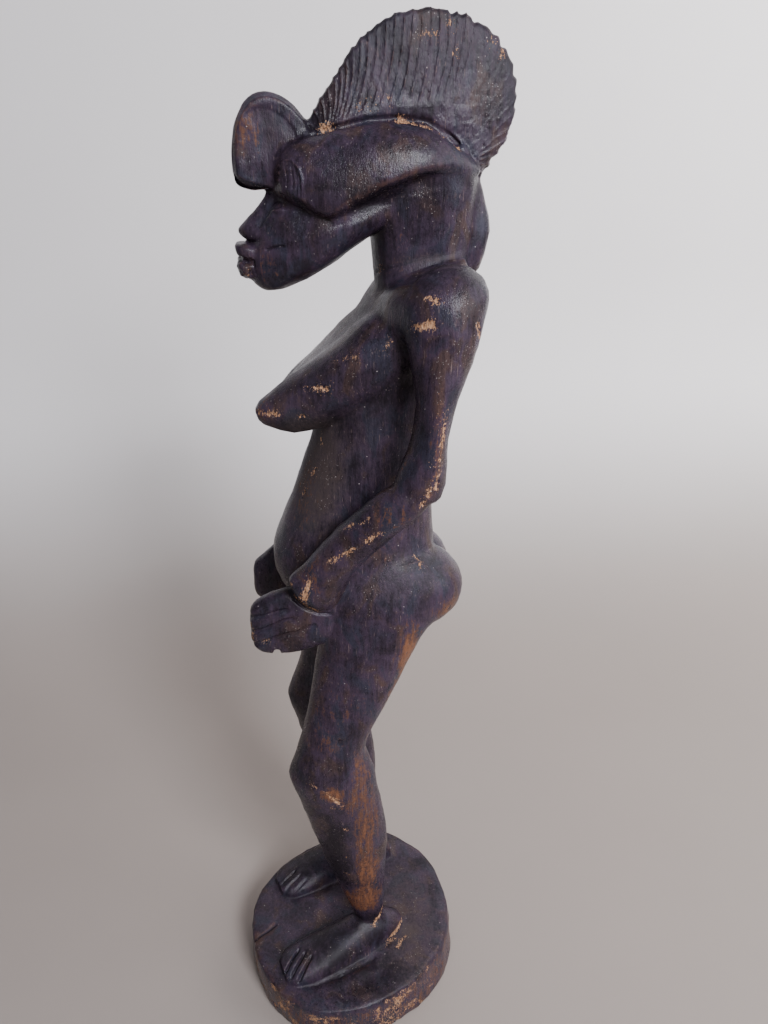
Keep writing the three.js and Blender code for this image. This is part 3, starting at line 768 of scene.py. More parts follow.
def carve(co, way, line, half, depth, taper=0.12, sharp=False, reach=2.5):
    """Cut a groove along a line, or raise a ridge with a depth below nought, fading at its ends.

    The line may lie up to a reach above or below the surface: the groove's width is measured across it.
    """
    near = np.flatnonzero(in_box(co, np.min(line, 0) - half - reach, np.max(line, 0) + half + reach))
    nearest, share = nearest_on_line(co[near], line)
    off = co[near] - nearest
    up = way[near] if way.ndim == 2 else np.broadcast_to(way, off.shape)
    rise = np.einsum("ij,ij->i", off, up)
    gap = np.linalg.norm(off - rise[:, None] * up, axis=1)
    gap = np.where(np.abs(rise) < reach, gap, np.inf)
    profile = np.clip(1 - gap / half, 0, 1)
    if not sharp:
        profile = ease(profile)
    ends = np.clip(np.minimum(share, 1 - share) / taper, 0, 1) if taper else 1
    co[near] -= up * (depth * profile * ends)[:, None]


def carve_both(co, way, line, half, depth, drop=0, **kinds):
    """Carve a line on the left side and its mirror image, at a drop, on the right."""
    carve(co, way, line, half, depth, **kinds)
    carve(co, way, on_other_side(line, drop), half, depth, **kinds)


# Where the carver rounded one form into the next


def join_weight(co):
    """How fully the joins are rounded at each place, by the part of the body it is on."""
    x, y, z = np.abs(co[:, 0]), co[:, 1], co[:, 2]
    at_hand = between(x, 18, 52, 5) * between(y, -60, 12, 10) * between(z, 280, 350, 8)
    breasts = between(z, 440, 490, 8) * ease((42 - x) / 8)
    hips = between(z, 275, 375, 10) * (1 - at_hand)
    shoulders = between(z, 462, 500, 8) * ease((x - 24) / 6)
    elbows = between(z, 388, 416, 8) * ease((x - 46) / 4)
    ankles = between(z, 40, 72, 6)
    nape = between(z, 508, 545, 6) * ease((y - 52) / 6)
    return np.max([breasts, hips, shoulders, elbows, ankles, nape], axis=0)


def temple_weight(co):
    """Beside the forehead lock, where it sinks into the sides of the head."""
    x, y, z = np.abs(co[:, 0]), co[:, 1], co[:, 2]
    return between(z, 527, 566, 6) * between(y, -30, -3, 5) * ease((x - 3) / 2)


# Lines cut on both sides of the head

BAND = [(8, -8, 553.3), (10, 5, 557.5), (9.4, 20, 560.4), (9.2, 34, 561.3), (9.4, 46, 559.8),
        (11, 56, 554.3), (13.2, 64.5, 546)]
CHEEK_GROOVE = [(20.5, -13.5, 527), (19, -10, 525), (20, -5.5, 523), (21.3, -1, 521), (21.8, 3, 518.4)]
NOSE_CHEEK = [(18, -18, 527), (9, -22.5, 523), (8, -27.5, 518), (7, -32.5, 512.7), (4.5, -35, 510)]
CHEEK_SCAR = [(12, -28.8, 507), (14, -25.2, 508.3), (16.7, -19, 509.4)]
MOUTH = [(8.8, -36, 502.3), (7, -40, 502.5), (0, -42, 502.7)]
LIP_ROUGHNESS = 1.1
LOWER_LIP_BOX = (-10, -46, 491), (10, -34, 502.5)
EYE_LID = [(14, -20, 542), (16, -17.6, 544.6), (18.5, -14.5, 545), (20.8, -12, 542.2),
           (22.3, -10.8, 538), (22.6, -11, 533)]
LOWER_LID = [(8.5, -24.3, 522.5), (13, -22, 524.8), (17, -19, 526.3), (20.5, -14.5, 527)]
LOWER_LID_SLIT = [(11, -23.5, 525.4), (15, -21, 526.8)]
EYE_HOLLOW = [(17.5, -16, 541), (18, -16, 533)]
EYE_BUMPS = [(14.4, -20, 542.4, 1.1), (14.4, -20, 539.6, 1.0), (14.4, -20, 536.6, 1.2),
             (15.2, -19.4, 532, 2.0), (14.6, -20, 528.6, 1.2)]
LASHES = [[(16.3, -17, 543), (17.2, -16.5, 536), (17, -17, 528.5)],
          [(18, -14.8, 543.6), (19, -14, 536), (18.7, -14.8, 529)],
          [(19.6, -13, 542.3), (20.4, -12.4, 536), (20.3, -13, 529.5)],
          [(21, -12, 539.5), (21.6, -11.5, 535), (21.6, -11.6, 530)]]
PANEL = [(-46, 528), (-46, 547), (-39, 551.5), (-37.5, 557), (-33.5, 563.5), (-28.5, 566), (-22.5, 565.3),
         (-16.5, 562), (-12.5, 557.5), (-10.5, 552), (-9, 545), (-9, 528)]
PANEL_DEEP = 0.45
LOBE_BOX = (-9, -44, 530), (9, -5, 573)
HEAD_RIDGE = [(23, 3, 523), (26.7, 9.7, 529.2), (28.9, 18.8, 534), (30.2, 27.3, 537.8), (29.8, 36, 540.8),
              (27.6, 45, 542.8), (23, 54.5, 542.4)]
UNDER_RIDGE = [(20, 8, 520), (23, 18, 526), (25, 28, 531), (25, 38, 534.5), (23, 47, 536.5)]
CHEEK_PLANE = [(21.5, 2.4, 518.5), (20, -5.8, 514), (18.3, -13.4, 512), (13, -26.2, 509)]
NECK_BASE = [(2, 22, 494.5), (12, 25, 497), (19.5, 34, 500.5), (21.5, 46, 503.5), (20, 58, 505)]
LOBE_FACET = [(-41.5, 539.5), (-34, 536.2), (-26, 534.3)]
LOBE_LEAST_HALF = 1

# Each cut on the head: its line, its half width, its depth (a ridge where below nought) and its kind
HEAD_CUTS = [
    (BAND, 1.9, 1.3, dict(taper=0.05)),
    (HEAD_RIDGE, 3.5, -0.9, dict(sharp=True, reach=4)),
    (UNDER_RIDGE, 5, 1.6, dict(reach=6)),
    (CHEEK_PLANE, 4, -0.7, dict(sharp=True)),
    (CHEEK_GROOVE, 1.2, 1.3, dict(taper=0.05)),
    (NOSE_CHEEK, 2.2, -0.8, {}),
    (CHEEK_SCAR, 1.0, 1.1, {}),
    (MOUTH, 1.0, 1.3, dict(taper=0)),
    (NECK_BASE, 1.8, 0.9, {}),
    (EYE_HOLLOW, 5, 0.6, {}),
    *((lash, 0.7, 0.45, {}) for lash in LASHES),
    (EYE_LID, 1.1, -0.7, {}),
    (LOWER_LID, 1.4, -0.9, {}),
    (LOWER_LID_SLIT, 0.7, 0.8, {}),
    *(([(x, y, z - 0.1), (x, y, z + 0.1)], radius, -0.8, dict(taper=0)) for x, y, z, radius in EYE_BUMPS),
]


def inside_outline(y, z, outline):
    """How far inside a closed outline in the middle plane each place lies, below nought outside."""
    o = np.array(outline, float)
    best = np.full(len(y), np.inf)
    inside = np.zeros(len(y), bool)
    for (ay, az), (by, bz) in zip(o, np.roll(o, -1, axis=0)):
        ey, ez = by - ay, bz - az
        w = np.clip(((y - ay) * ey + (z - az) * ez) / (ey ** 2 + ez ** 2), 0, 1)
        best = np.minimum(best, np.hypot(y - ay - w * ey, z - az - w * ez))
        crosses = (az > z) != (bz > z)
        inside ^= crosses & (y < ay + (z - az) * ey / (ez + 1e-12))
    return np.where(inside, best, -best)


def carve_head(co, normals):
    for line, half, depth, kinds in HEAD_CUTS:
        carve_both(co, normals, line, half, depth, **kinds)
    lip = np.flatnonzero(in_box(co, *LOWER_LIP_BOX))
    co[lip] += normals[lip] * (LIP_ROUGHNESS * field_noise(co[lip], 2.4, 34))[:, None]
    lobe = np.flatnonzero(in_box(co, *LOBE_BOX) & (np.abs(normals[:, 0]) > 0.4))
    x, y, z = co[lobe].T
    panel = PANEL_DEEP * ease(inside_outline(y, z, PANEL) / 0.7) * ease((z - 539) / 12)
    edge = np.interp(y, *np.array(LOBE_FACET).T)
    facet = np.clip(edge - z, 0, 4) * 0.9 * ease((-24 - y) / 4)
    co[lobe, 0] = np.sign(x) * np.maximum(np.abs(x) - panel - facet, LOBE_LEAST_HALF)


# Hands, body and feet

FINGERS = [[(29, -51, 318.5), (33, -48.5, 319.3), (35.2, -43, 321), (36.6, -33, 324.3), (37, -27, 325.5)],
           [(29, -51, 309), (33, -49, 310), (35.6, -43.5, 312.2), (37.3, -31, 318), (37.5, -24, 320)],
           [(29, -51, 300.5), (33, -48, 301.3), (35.2, -44, 303.6), (37, -34, 308), (37.5, -24, 311),
            (36.8, -12, 316.5)]]
FINGER_NOTCH = [(24, -36.5, 292), (38.5, -36.5, 296.5)]
CUFF_EDGE = [(29, -27.5, 336), (36, -25, 331.2), (38.3, -19.5, 326.3), (39.3, -13, 323.2),
             (39.5, -4, 322.5)]
ARM_RIDGE = [(58, 55, 495), (62.6, 52.7, 487.9), (64, 49.8, 478.5), (64.8, 47.1, 465.7),
             (65.7, 44.7, 452.5), (66.2, 43.4, 436.3), (66.2, 42.5, 419.3), (66, 41.5, 406.5)]
ARM_SLIT = [(46, 30.5, 473), (47, 33, 464), (45.5, 35.5, 454)]
TOE_SLITS = 3
TOE_SPACING = 5.6
TOE_LENGTH = 20
BASE_CRACK = [(25.4, -73, 22), (24.4, -71.5, 31), (18, -61, 32), (11.5, -52, 32)]
KNOT_HOLE = [(52.5, -3.9, 242.4), (52.5, -3.9, 240.8)]
SOLE_EDGE = [(44, 20, 32), (47.8, 14.4, 32), (52.7, 1.2, 32), (57.2, -13.1, 32), (60.8, -25.7, 32),
             (59.5, -40, 32)]
RIGHT_SOLE_EDGE = [(-6, -46, 32), (-8.3, -36, 32), (-12, -21, 32), (-17.3, -7, 32)]
BASE_CHANNEL = [(48, 30, 32), (56.7, 20, 32), (62, 8, 32), (66.7, -8, 32), (69, -26, 32)]
BASE_KNOT = (65, 16)
BASE_KNOT_RADIUS = 9


def toe_lines(foot_line):
    """The slits between the toes, side by side across the front of a foot."""
    x, y = foot_line["toes"]
    turn = math.radians(foot_line["turn"])
    ahead = np.array([math.sin(turn), -math.cos(turn)])
    across_foot = np.array([ahead[1], -ahead[0]])
    for i in range(TOE_SLITS):
        middle = np.array([x, y]) + across_foot * (i - (TOE_SLITS - 1) / 2) * TOE_SPACING
        front, back = middle + ahead * TOE_LENGTH * 0.4, middle - ahead * TOE_LENGTH * 0.6
        yield [(*front, BASE_HEIGHT + 4), (*(middle - ahead * 2), BASE_HEIGHT + 7.5),
               (*back, BASE_HEIGHT + 11)]


# The same for the arms and hands, for what is cut straight down, and for the crack and the knot hole
ARM_CUTS = [
    *((finger, 2.5, 1.5, dict(taper=0.1, drop=RIGHT_HAND_DROP)) for finger in FINGERS),
    (FINGER_NOTCH, 2.6, 4, dict(taper=0, drop=RIGHT_HAND_DROP)),
    (CUFF_EDGE, 1.8, 1.3, {}),
    (ARM_SLIT, 2.6, 2.4, dict(taper=0.3)),
    (ARM_RIDGE, 7, -1.3, dict(sharp=True, reach=5)),
]
DOWNWARD_CUTS = [
    *((slit, 1.9, foot_line["toe_depth"], dict(taper=0.2))
      for foot_line in (LEFT_FOOT, RIGHT_FOOT) for slit in toe_lines(foot_line)),
    (BASE_CHANNEL, 9, 1.8, dict(taper=0.3)),
    (SOLE_EDGE, 1.4, 1.2, dict(taper=0.1)),
    (RIGHT_SOLE_EDGE, 1.0, 1.0, dict(taper=0.2)),
]
SINGLE_CUTS = [
    (BASE_CRACK, 0.9, 2.5, dict(taper=0.05)),
    (KNOT_HOLE, 2.3, 3.2, dict(taper=0)),
]


def carve_body(co, normals):
    for line, half, depth, kinds in ARM_CUTS:
        carve_both(co, normals, line, half, depth, **kinds)
    for line, half, depth, kinds in DOWNWARD_CUTS:
        carve(co, np.array([0, 0, 1.0]), line, half, depth, **kinds)
    for line, half, depth, kinds in SINGLE_CUTS:
        carve(co, normals, line, half, depth, **kinds)
    from_knot = np.hypot(*(co[:, :2] - BASE_KNOT).T)
    rough = between(from_knot, -BASE_KNOT_RADIUS, BASE_KNOT_RADIUS, 4) * (co[:, 2] > BASE_HEIGHT - 2)
    co[:, 2] -= rough * (0.6 + 0.8 * field_noise(co, 1.8, 31))


# Chips and rubbed places. Each chip runs from one place to another and widens on the way.

CHIPS = [
    ((58, 39.2, 493.4), (60.5, 43.3, 492), 0.3, 0.9),
    ((55.5, 32, 480), (62, 40.6, 482.6), 0, 1.8),
    ((59.5, 62, 481.5), (57.5, 63.5, 476.5), 0.5, 1.1),
    ((41.6, 24.2, 467), (40.8, 26.1, 470.5), 0.4, 1.0),
    ((31, 0.4, 459.2), (37.3, 10.3, 462.2), -0.1, 1.2),
    ((29.6, -14.2, 446.5), (34.8, -3.9, 447.4), -0.1, 1.2),
    ((19, -38, 431.5), (26.5, -27, 432.5), 0.6, 0.7),
    ((28.1, -16.8, 431.2), (28.6, -15, 431.5), 0.2, 0.5),
    ((15.1, -6.6, 414.5), (15.6, -5.5, 412.5), 0.3, 0.6),
    ((17.7, -10.4, 399), (17, -11.5, 396), 0.3, 0.7),
    ((15.7, -16.1, 388.5), (15, -17.5, 382), 0.1, 0.5),
    ((65.3, 45.5, 457), (66, 44, 440), -0.4, 0.5),
    ((65.8, 47.5, 446), (66, 46, 428), -0.2, 0.8),
    ((66, 43.5, 434), (66, 42.8, 420), -0.3, 0.5),
    ((65.5, 45.5, 424), (64.8, 44.6, 407), -0.3, 0.9),
    ((66, 42, 416), (65.5, 40.5, 403), -0.4, 0.4),
    ((65, 41, 406), (64, 38, 398), 0, 0.8),
    ((61.6, 19, 383), (59, 11.8, 377.2), 0.3, 0.8),
    ((57.5, 6.5, 373), (52.8, -5.8, 363), 0.1, 0.4),
    ((43.5, -26, 345.5), (36.8, -24.2, 333.5), 0.5, 1.1),
    ((36.8, -24.2, 333.5), (39.3, -13.5, 325.3), 1.1, 0.5),
    ((49.3, -16.5, 350), (47, -19.5, 339), 0.8, 1.8),
    ((32.5, -49.6, 315), (32.5, -49.4, 305), 0.3, 0.9),
    ((35.3, -41, 305), (35, -43, 304), 0.2, 0.4),
    ((52, 2.2, 381), (54, 6, 384), -0.3, 0.2),
    ((57.2, 9.2, 386), (59, 13, 389), -0.4, 0.1),
    ((28.8, 40.3, 348.8), (32.2, 43.4, 346), 0.4, 0.6),
    ((51.5, -21.3, 211.5), (52, -19, 209.5), 0.4, 1.0),
    ((53.4, -14, 207), (52.8, -6, 195), 0.2, 1.1),
    ((52.5, -8, 200), (52, -4, 192), -0.2, 0.8),
    ((49.6, -3.2, 169.2), (49.3, -1.5, 167.5), -0.2, -0.1),
    ((45.8, -2.3, 138.2), (45.6, -1, 138.6), -0.2, -0.1),
    ((42.1, -3.1, 119.3), (42.6, -1, 118), -0.2, 0),
    ((52.3, -10.1, 191.4), (52, -8.6, 190), -0.2, 0),
    ((49.4, -24.1, 198.5), (50.5, -21, 198), -0.3, -0.1),
    ((10.5, 24.7, 499.2), (9, 24.3, 496), -0.1, 0.3),
    ((28, 24, 61), (30.5, 21, 55), 0.8, 1.3),
    ((30.5, 21, 55), (33.5, 16.5, 50), 1.3, 0.8),
    ((24.5, 37.5, 37), (31.2, 31.8, 34.5), 0.9, 1.6),
    ((31.2, 31.8, 34.5), (38, 25, 32.5), 1.6, 0.8),
    ((31, 41, 32), (40, 33, 32), -0.2, 0.7),
    ((8.3, 0, 557.2), (9.3, 3.5, 557.3), 1.7, 2.0),
    ((9.2, 33.3, 560.4), (9.8, 40.5, 559), 1.7, 1.0),
    ((10, 44, 558.6), (10.3, 47, 557.6), 0.7, 0.9),
    ((10.2, 52.6, 554.4), (15.2, 58.4, 549), 0.7, 1.5),
    ((7.7, 15.8, 565), (7.6, 16.4, 567), 0.1, -0.2),
    ((7.6, 19.5, 565.6), (7.5, 20.2, 568), 0.1, -0.2),
    ((7.8, 23.9, 565.7), (7.7, 24.4, 567.5), 0.1, -0.2),
    ((8, 29.2, 567.6), (7.9, 29.4, 570), 0.1, -0.3),
    ((5.3, 43.6, 593.5), (5.2, 49.6, 593), -0.1, 0.2),
    ((4.8, 55.9, 598), (4.4, 56.2, 594), 0.2, -0.1),
    ((5.2, 58.2, 586.8), (5.3, 58.2, 585), 0, 0.1),
    ((4, 74, 591.2), (4, 75, 590), 0.3, 0.5),
    ((4.8, 79, 586.9), (4.8, 79.4, 585.6), 0.3, 0.5),
    ((13, -34, 493.6), (9.5, -37.5, 496), 1.3, 0.6),
]
CHIP_SPREAD = 0.5
CHIP_REACH = 6
NO_CHIP = -4.0

# Rubbed places as a middle, three reaches and a strength

RUBBED = [
    ((33, 60, 316), (12, 14, 11), 0.8),
    ((41, 36, 292), (8, 10, 32), 1.0),
    ((41, 27, 262), (6, 6, 22), 0.7),
    ((50, 0, 264), (3, 3, 8), 0.7),
    ((50, -10, 238), (4, 4, 9), 0.8),
    ((53, -10, 203), (5, 10, 9), 0.9),
    ((52, -1, 190), (5, 6, 14), 0.6),
    ((49, 8, 205), (9, 12, 38), 0.65),
    ((46, 10, 165), (12, 13, 34), 0.75),
    ((42, 10, 120), (13, 13, 32), 0.9),
    ((36, 8, 84), (15, 17, 26), 0.95),
    ((46, 4, 235), (18, 44, 60), 0.35),
    ((66, 45, 425), (3, 6, 34), 0.55),
    ((58, 30, 440), (5, 6, 40), 0.4),
    ((58, 36, 470), (5, 8, 16), 0.3),
    ((62, 24, 392), (9, 14, 10), 0.5),
    ((50, -14, 352), (9, 9, 14), 0.5),
    ((16, -16, 385), (12, 9, 34), 0.45),
    ((6, -34, 556), (6, 8, 12), 0.55),
    ((36, 24, 360), (10, 16, 14), 0.4),
    ((14, -30, 500), (10, 12, 9), 0.35),
    ((20, -34, 432), (10, 8, 8), 0.5),
    ((20, 30, 505), (8, 12, 14), 0.4),
]
WALL_RUBBED = 0.5

# Places drawn darker: thick stain on the knees and shins; darker over the crest, the buttock's top, the
# ankle, the feet and the base round them; painted shade under the left head side mass and jaw, under the
# breast and between arm and body

SHADE_AND_STAIN_PLACES = [
    ((51, -20, 219), (9, 12, 13), 0.7),
    ((52, -3, 222), (5, 6, 14), 0.6),
    ((50, 4, 248), (5, 7, 12), 0.7),
    ((47, -8, 160), (8, 9, 26), 1.0),
    ((42, -6, 118), (9, 11, 30), 1.0),
    ((0, 45, 590), (14, 75, 34), 0.3),
    ((46, 48, 352), (20, 26, 20), 0.3),
    # Darker round the ankle, the feet and the base top beside them
    ((36, 8, 58), (14, 16, 9), 0.8),
    ((40, -5, 44), (20, 34, 9), 0.6),
    ((-22, -10, 40), (24, 44, 9), 0.5),
    ((62, 10, 32), (16, 34, 4), 0.6),
    # Painted shade: under the head's side mass, on the jaw side and the neck under it, between the arm
    # and body, and under the breast
    ((30, -10, 515), (12, 30, 9), 0.5),
    ((27, 30, 529), (13, 32, 10), 0.9),
    ((10, 26, 505), (12, 8, 16), 0.5),
    ((40, 30, 445), (16, 14, 12), 0.5),
    ((30, -8, 425), (14, 26, 8), 0.5),
]

# Dry, greyed places in the same way

DRY = [
    ((0, 45, 590), (14, 75, 34), 0.3),
    ((0, -22, 556), (9, 18, 18), 0.5),
    ((20, -12, 400), (22, 26, 48), 0.75),
    ((20, 22, 420), (24, 30, 50), 0.35),
    ((16, 40, 503), (12, 30, 3), 0.5),
    ((0, 8, 486), (34, 34, 26), 0.3),
    ((34, 34, 500), (30, 26, 12), 0.25),
    ((34, 30, 330), (12, 24, 26), 0.3),
    ((20, 44, 33), (60, 34, 6), 0.5),
    ((30, 43, 32), (11, 8, 3), 0.9),
    ((48, -8, 42), (18, 36, 12), 0.2),
    ((-10, -50, 33), (50, 40, 6), 0.2),
]


BASE_WALL = 66
# Chips on the wall: the side where most are, how far below the top they start, and how rare they are
WALL_CHIPS_TOWARD = -0.35
WALL_CHIPS_BELOW = 1.5
WALL_CHIPS_RARE = 2.3


def on_wall(co):
    """Whether a place is as far out as the wall of the base."""
    return np.hypot(co[:, 0] + FIGURE_SHIFT, co[:, 1]) > BASE_WALL


def chip_field(co):
    """How far inside a chip each place lies, in millimetres, below nought outside."""
    inside = np.full(len(co), NO_CHIP)
    for start, end, narrow, broad in CHIPS:
        near = np.flatnonzero(in_box(co, np.minimum(start, end) - CHIP_REACH,
                                     np.maximum(start, end) + CHIP_REACH))
        nearest, share = nearest_on_line(co[near], [start, end])
        gap = np.linalg.norm(co[near] - nearest, axis=1)
        inside[near] = np.maximum(inside[near], CHIP_SPREAD + narrow + (broad - narrow) * share - gap)
    to_front = np.cos(np.arctan2(co[:, 1], co[:, 0] + FIGURE_SHIFT) - WALL_CHIPS_TOWARD)
    patch = field_noise(co, (7, 7, 5), 12) * 2.6 + field_noise(co, (2.6, 2.6, 2), 13) * 1.6
    low = on_wall(co) & (co[:, 2] < BASE_HEIGHT - WALL_CHIPS_BELOW)
    inside[low] = np.maximum(inside[low], (patch - WALL_CHIPS_RARE + to_front * 1.2)[low])
    return inside


BLOB_EDGE = 1.35


def soft_places(co, places):
    """The strongest of some soft blobs at each place."""
    total = np.zeros(len(co))
    for middle, reach, strength in places:
        far = np.linalg.norm((co - middle) / reach, axis=1)
        total = np.maximum(total, strength * ease(BLOB_EDGE - far))
    return total


ADZE_PITCH = 9
ADZE_DEPTH = 0.3
ADZE_FLAT = 0.6
CHIP_RAGGED = 0.9
CHIP_SUNK = 0.45
# How strong the waves are on the crest and the base, and up to where the underside stays flat
CREST_WAVES, BASE_WAVES = 0.3, 1.5
UNDERSIDE = 0.6
# The low waves all over the wood: the height, the pitch and the seed of each
WAVES = [(0.25, (9, 9, 13), 22), (0.13, (4, 4, 6), 23), (0.05, 1.7, 24)]


def gouged_cells(co, pitch, seed):
    """Nought in the middle of each cut of the adze, rising to one at the ridges where cuts meet."""
    size = 24
    sites = np.random.default_rng(seed).uniform(0.1, 0.9, (size, size, size, 3))
    place = co / pitch
    low = np.floor(place).astype(int)
    nearest = np.full(len(co), 9.0)
    for step in np.ndindex(3, 3, 3):
        cell = low + step - 1
        i, j, k = (cell % size).T
        nearest = np.minimum(nearest, np.sum((place - cell - sites[i, j, k]) ** 2, axis=1))
    return np.clip(nearest / ADZE_FLAT, 0, 1)


def wear_down(co, normals):
    """Sink the chips, and leave the low waves and small dents of the adze all over."""
    ragged = chip_field(co) + CHIP_RAGGED * field_noise(co, 1.4, 21)
    sunk = CHIP_SUNK * ease(ragged / 0.8)
    waves = sum(height * field_noise(co, pitch, seed) for height, pitch, seed in WAVES)
    waves += ADZE_DEPTH * (gouged_cells(co, ADZE_PITCH, 25) - 0.5)
    on_crest = (co[:, 2] > 566) & (np.abs(co[:, 0]) < 10)
    on_base = co[:, 2] < BASE_HEIGHT + 1
    waves = np.where(on_crest, CREST_WAVES * waves, np.where(on_base, BASE_WAVES * waves, waves))
    underside = co[:, 2] < UNDERSIDE
    return co - normals * (np.where(underside, 0, sunk - waves))[:, None]


# Where the finest cuts go, as two corners of each box: the face, the hands, the toes and the crest

FINE_BOXES = [((-26, -46, 487), (26, -6, 549)), ((18, -53, 289), (44, -2, 332)),
              ((-44, -53, 286), (-18, -2, 332)), ((24, -58, 33), (66, -14, 48)),
              ((-40, -62, 33), (0, -18, 48)), ((-12, -16, 552), (12, 96, 606)),
              ((-12, 50, 530), (12, 96, 553))]


def refine(thing, boxes):
    """Split the faces inside some boxes, where the finest cuts go."""
    cells = bmesh.new()
    cells.from_mesh(thing.data)
    cells.edges.ensure_lookup_table()
    chosen = in_boxes(in_figure(thing.data), boxes)
    picked = np.flatnonzero(chosen[edges_of(thing.data)].all(axis=1))
    bmesh.ops.subdivide_edges(cells, edges=[cells.edges[i] for i in picked], cuts=1, use_grid_fill=True)
    cells.to_mesh(thing.data)
    cells.free()


def store(mesh, name, values):
    layer = mesh.attributes.new(name, "FLOAT", "POINT")
    layer.data.foreach_set("value", values.astype(np.float32))


RELIEF_ROUNDS = 12
RELIEF_STEP = 0.6


def relief_height(co, edges, normals):
    """How far each place stands above its softened surroundings, in millimetres."""
    valence = np.bincount(edges.ravel(), minlength=len(co)).astype(float)
    smooth = co
    for _ in range(RELIEF_ROUNDS):
        smooth = smooth + RELIEF_STEP * (neighbour_mean(smooth, edges, valence) - smooth)
    return np.einsum("ij,ij->i", co - smooth, normals)


SOFTEN_ROUNDS = 6
JOIN_ROUNDS = 60
TEMPLE_ROUNDS = 180
# Where fewer triangles are taken away: above a height, and up to a distance round each chip
CREST_HEIGHT = 552
CHIP_RIM = 1.5
THINNED_IN_DETAIL = 0.35
DETAIL_FACTOR = 0.015


def carved_wood():
    skin = melted_skin()
    mesh = skin.data
    edges = edges_of(mesh)
    co = soften(in_figure(mesh), edges, SOFTEN_ROUNDS)
    co = fill_creases(mesh, co, edges, join_weight(co), JOIN_ROUNDS)
    co = fill_creases(mesh, co, edges, temple_weight(co), TEMPLE_ROUNDS)
    place_figure(mesh, co)
    refine(skin, FINE_BOXES)
    co = in_figure(mesh)
    edges = edges_of(mesh)
    normals = vertex_normals(mesh, co)
    carve_head(co, normals)
    cut_flutes(co, normals)
    carve_body(co, normals)
    co = soften(co, edges, 1)
    co = wear_down(co, vertex_normals(mesh, co))
    normals = vertex_normals(mesh, co)
    store(mesh, "relief", relief_height(co, edges, normals))
    detail = skin.vertex_groups.new(name="detail")
    fine = in_boxes(co, FINE_BOXES) | (co[:, 2] > CREST_HEIGHT)
    fine |= (chip_field(co) > -CHIP_RIM) & (co[:, 2] > BASE_HEIGHT)
    detail.add(np.flatnonzero(~fine).tolist(), 1.0, "REPLACE")
    detail.add(np.flatnonzero(fine).tolist(), THINNED_IN_DETAIL, "REPLACE")
    thin = skin.modifiers.new("thin", "DECIMATE")
    thin.ratio = min(1.0, TRIANGLES / (2 * len(mesh.polygons)))
    thin.vertex_group = "detail"
    thin.vertex_group_factor = DETAIL_FACTOR
    thin.use_collapse_triangulate = True
    applied(skin)
    mesh = skin.data
    co = in_figure(mesh)
    store(mesh, "bare", chip_field(co))
    wall = between(co[:, 2], -9, BASE_HEIGHT, 5) * on_wall(co)
    rubbed = np.maximum(soft_places(co, RUBBED), WALL_RUBBED * wall)
    # Below nought at the darker places, thick stain and painted shade alike
    store(mesh, "rubbed", rubbed - soft_places(co, SHADE_AND_STAIN_PLACES))
    store(mesh, "dry", soft_places(co, DRY))
    mesh.shade_smooth()
    return skin


skin = carved_wood()
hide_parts("figure")
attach(skin, "root")

# Materials


class Shader:
    """A material whose nodes are written as calls: each adds one node and returns its output."""

    def __init__(self, name):
        self.material = bpy.data.materials.new(name)
        self.material.use_nodes = True
        self.tree = self.material.node_tree
        self.surface = self.tree.nodes["Principled BSDF"]

    def add(self, kind, inputs, output=0, **settings):
        made = self.tree.nodes.new(kind)
        for key, value in settings.items():
            setattr(made, key, value)
        for key, value in inputs.items():
            self.feed(made.inputs[key], value)
        return made.outputs[output]

    def feed(self, socket, value):
        if isinstance(value, bpy.types.NodeSocket):
            self.tree.links.new(value, socket)
        else:
            socket.default_value = value

    def shader(self, **inputs):
        for key, value in inputs.items():
            self.feed(self.surface.inputs[key.replace("_", " ")], value)

    def attribute(self, name):
        return self.add("ShaderNodeAttribute", {}, output="Fac", attribute_name=name)

    def millimetres(self, along=(1, 1, 1), turn=(0, 0, 0)):
        """Places on the object in millimetres, divided by how long the pattern is drawn out."""
        place = self.add("ShaderNodeTexCoord", {}, output="Object")
        scale = tuple(1000 / length for length in along)
        return self.add("ShaderNodeMapping", {"Vector": place, "Scale": scale, "Rotation": turn})

    def noise(self, place, pitch, detail=3.0, roughness=0.55, distortion=0.0):
        return self.add("ShaderNodeTexNoise", {"Vector": place, "Scale": 1 / pitch, "Detail": detail,
                                               "Roughness": roughness, "Distortion": distortion})

    def cells(self, place, pitch):
        return self.add("ShaderNodeTexVoronoi", {"Vector": place, "Scale": 1 / pitch})

    def sum(self, *parts):
        """Each part is an output and what it is multiplied by; a bare number is added."""
        total = 0.0
        for part in parts:
            if isinstance(part, tuple):
                total = self.add("ShaderNodeMath", {0: part[0], 1: part[1], 2: total},
                                 operation="MULTIPLY_ADD")
            else:
                total = self.add("ShaderNodeMath", {0: total, 1: part}, operation="ADD")
        return total

    def times(self, a, b):
        return self.add("ShaderNodeMath", {0: a, 1: b}, operation="MULTIPLY")

    def step(self, value, low, high):
        """Nought at low, one at high and smooth between them."""
        return self.add("ShaderNodeMapRange", {"Value": value, "From Min": low, "From Max": high,
                                               "To Min": 0.0, "To Max": 1.0},
                        interpolation_type="SMOOTHSTEP", clamp=True)

    def mix(self, share, a, b):
        colours = [c if isinstance(c, bpy.types.NodeSocket) else (*c, 1) for c in (a, b)]
        return self.add("ShaderNodeMixRGB", {"Fac": share, "Color1": colours[0], "Color2": colours[1]},
                        blend_type="MIX")

    def bump(self, height, distance, strength):
        return self.add("ShaderNodeBump", {"Height": height, "Distance": distance * MM,
                                           "Strength": strength})


# Colours of the wood, as light reflected

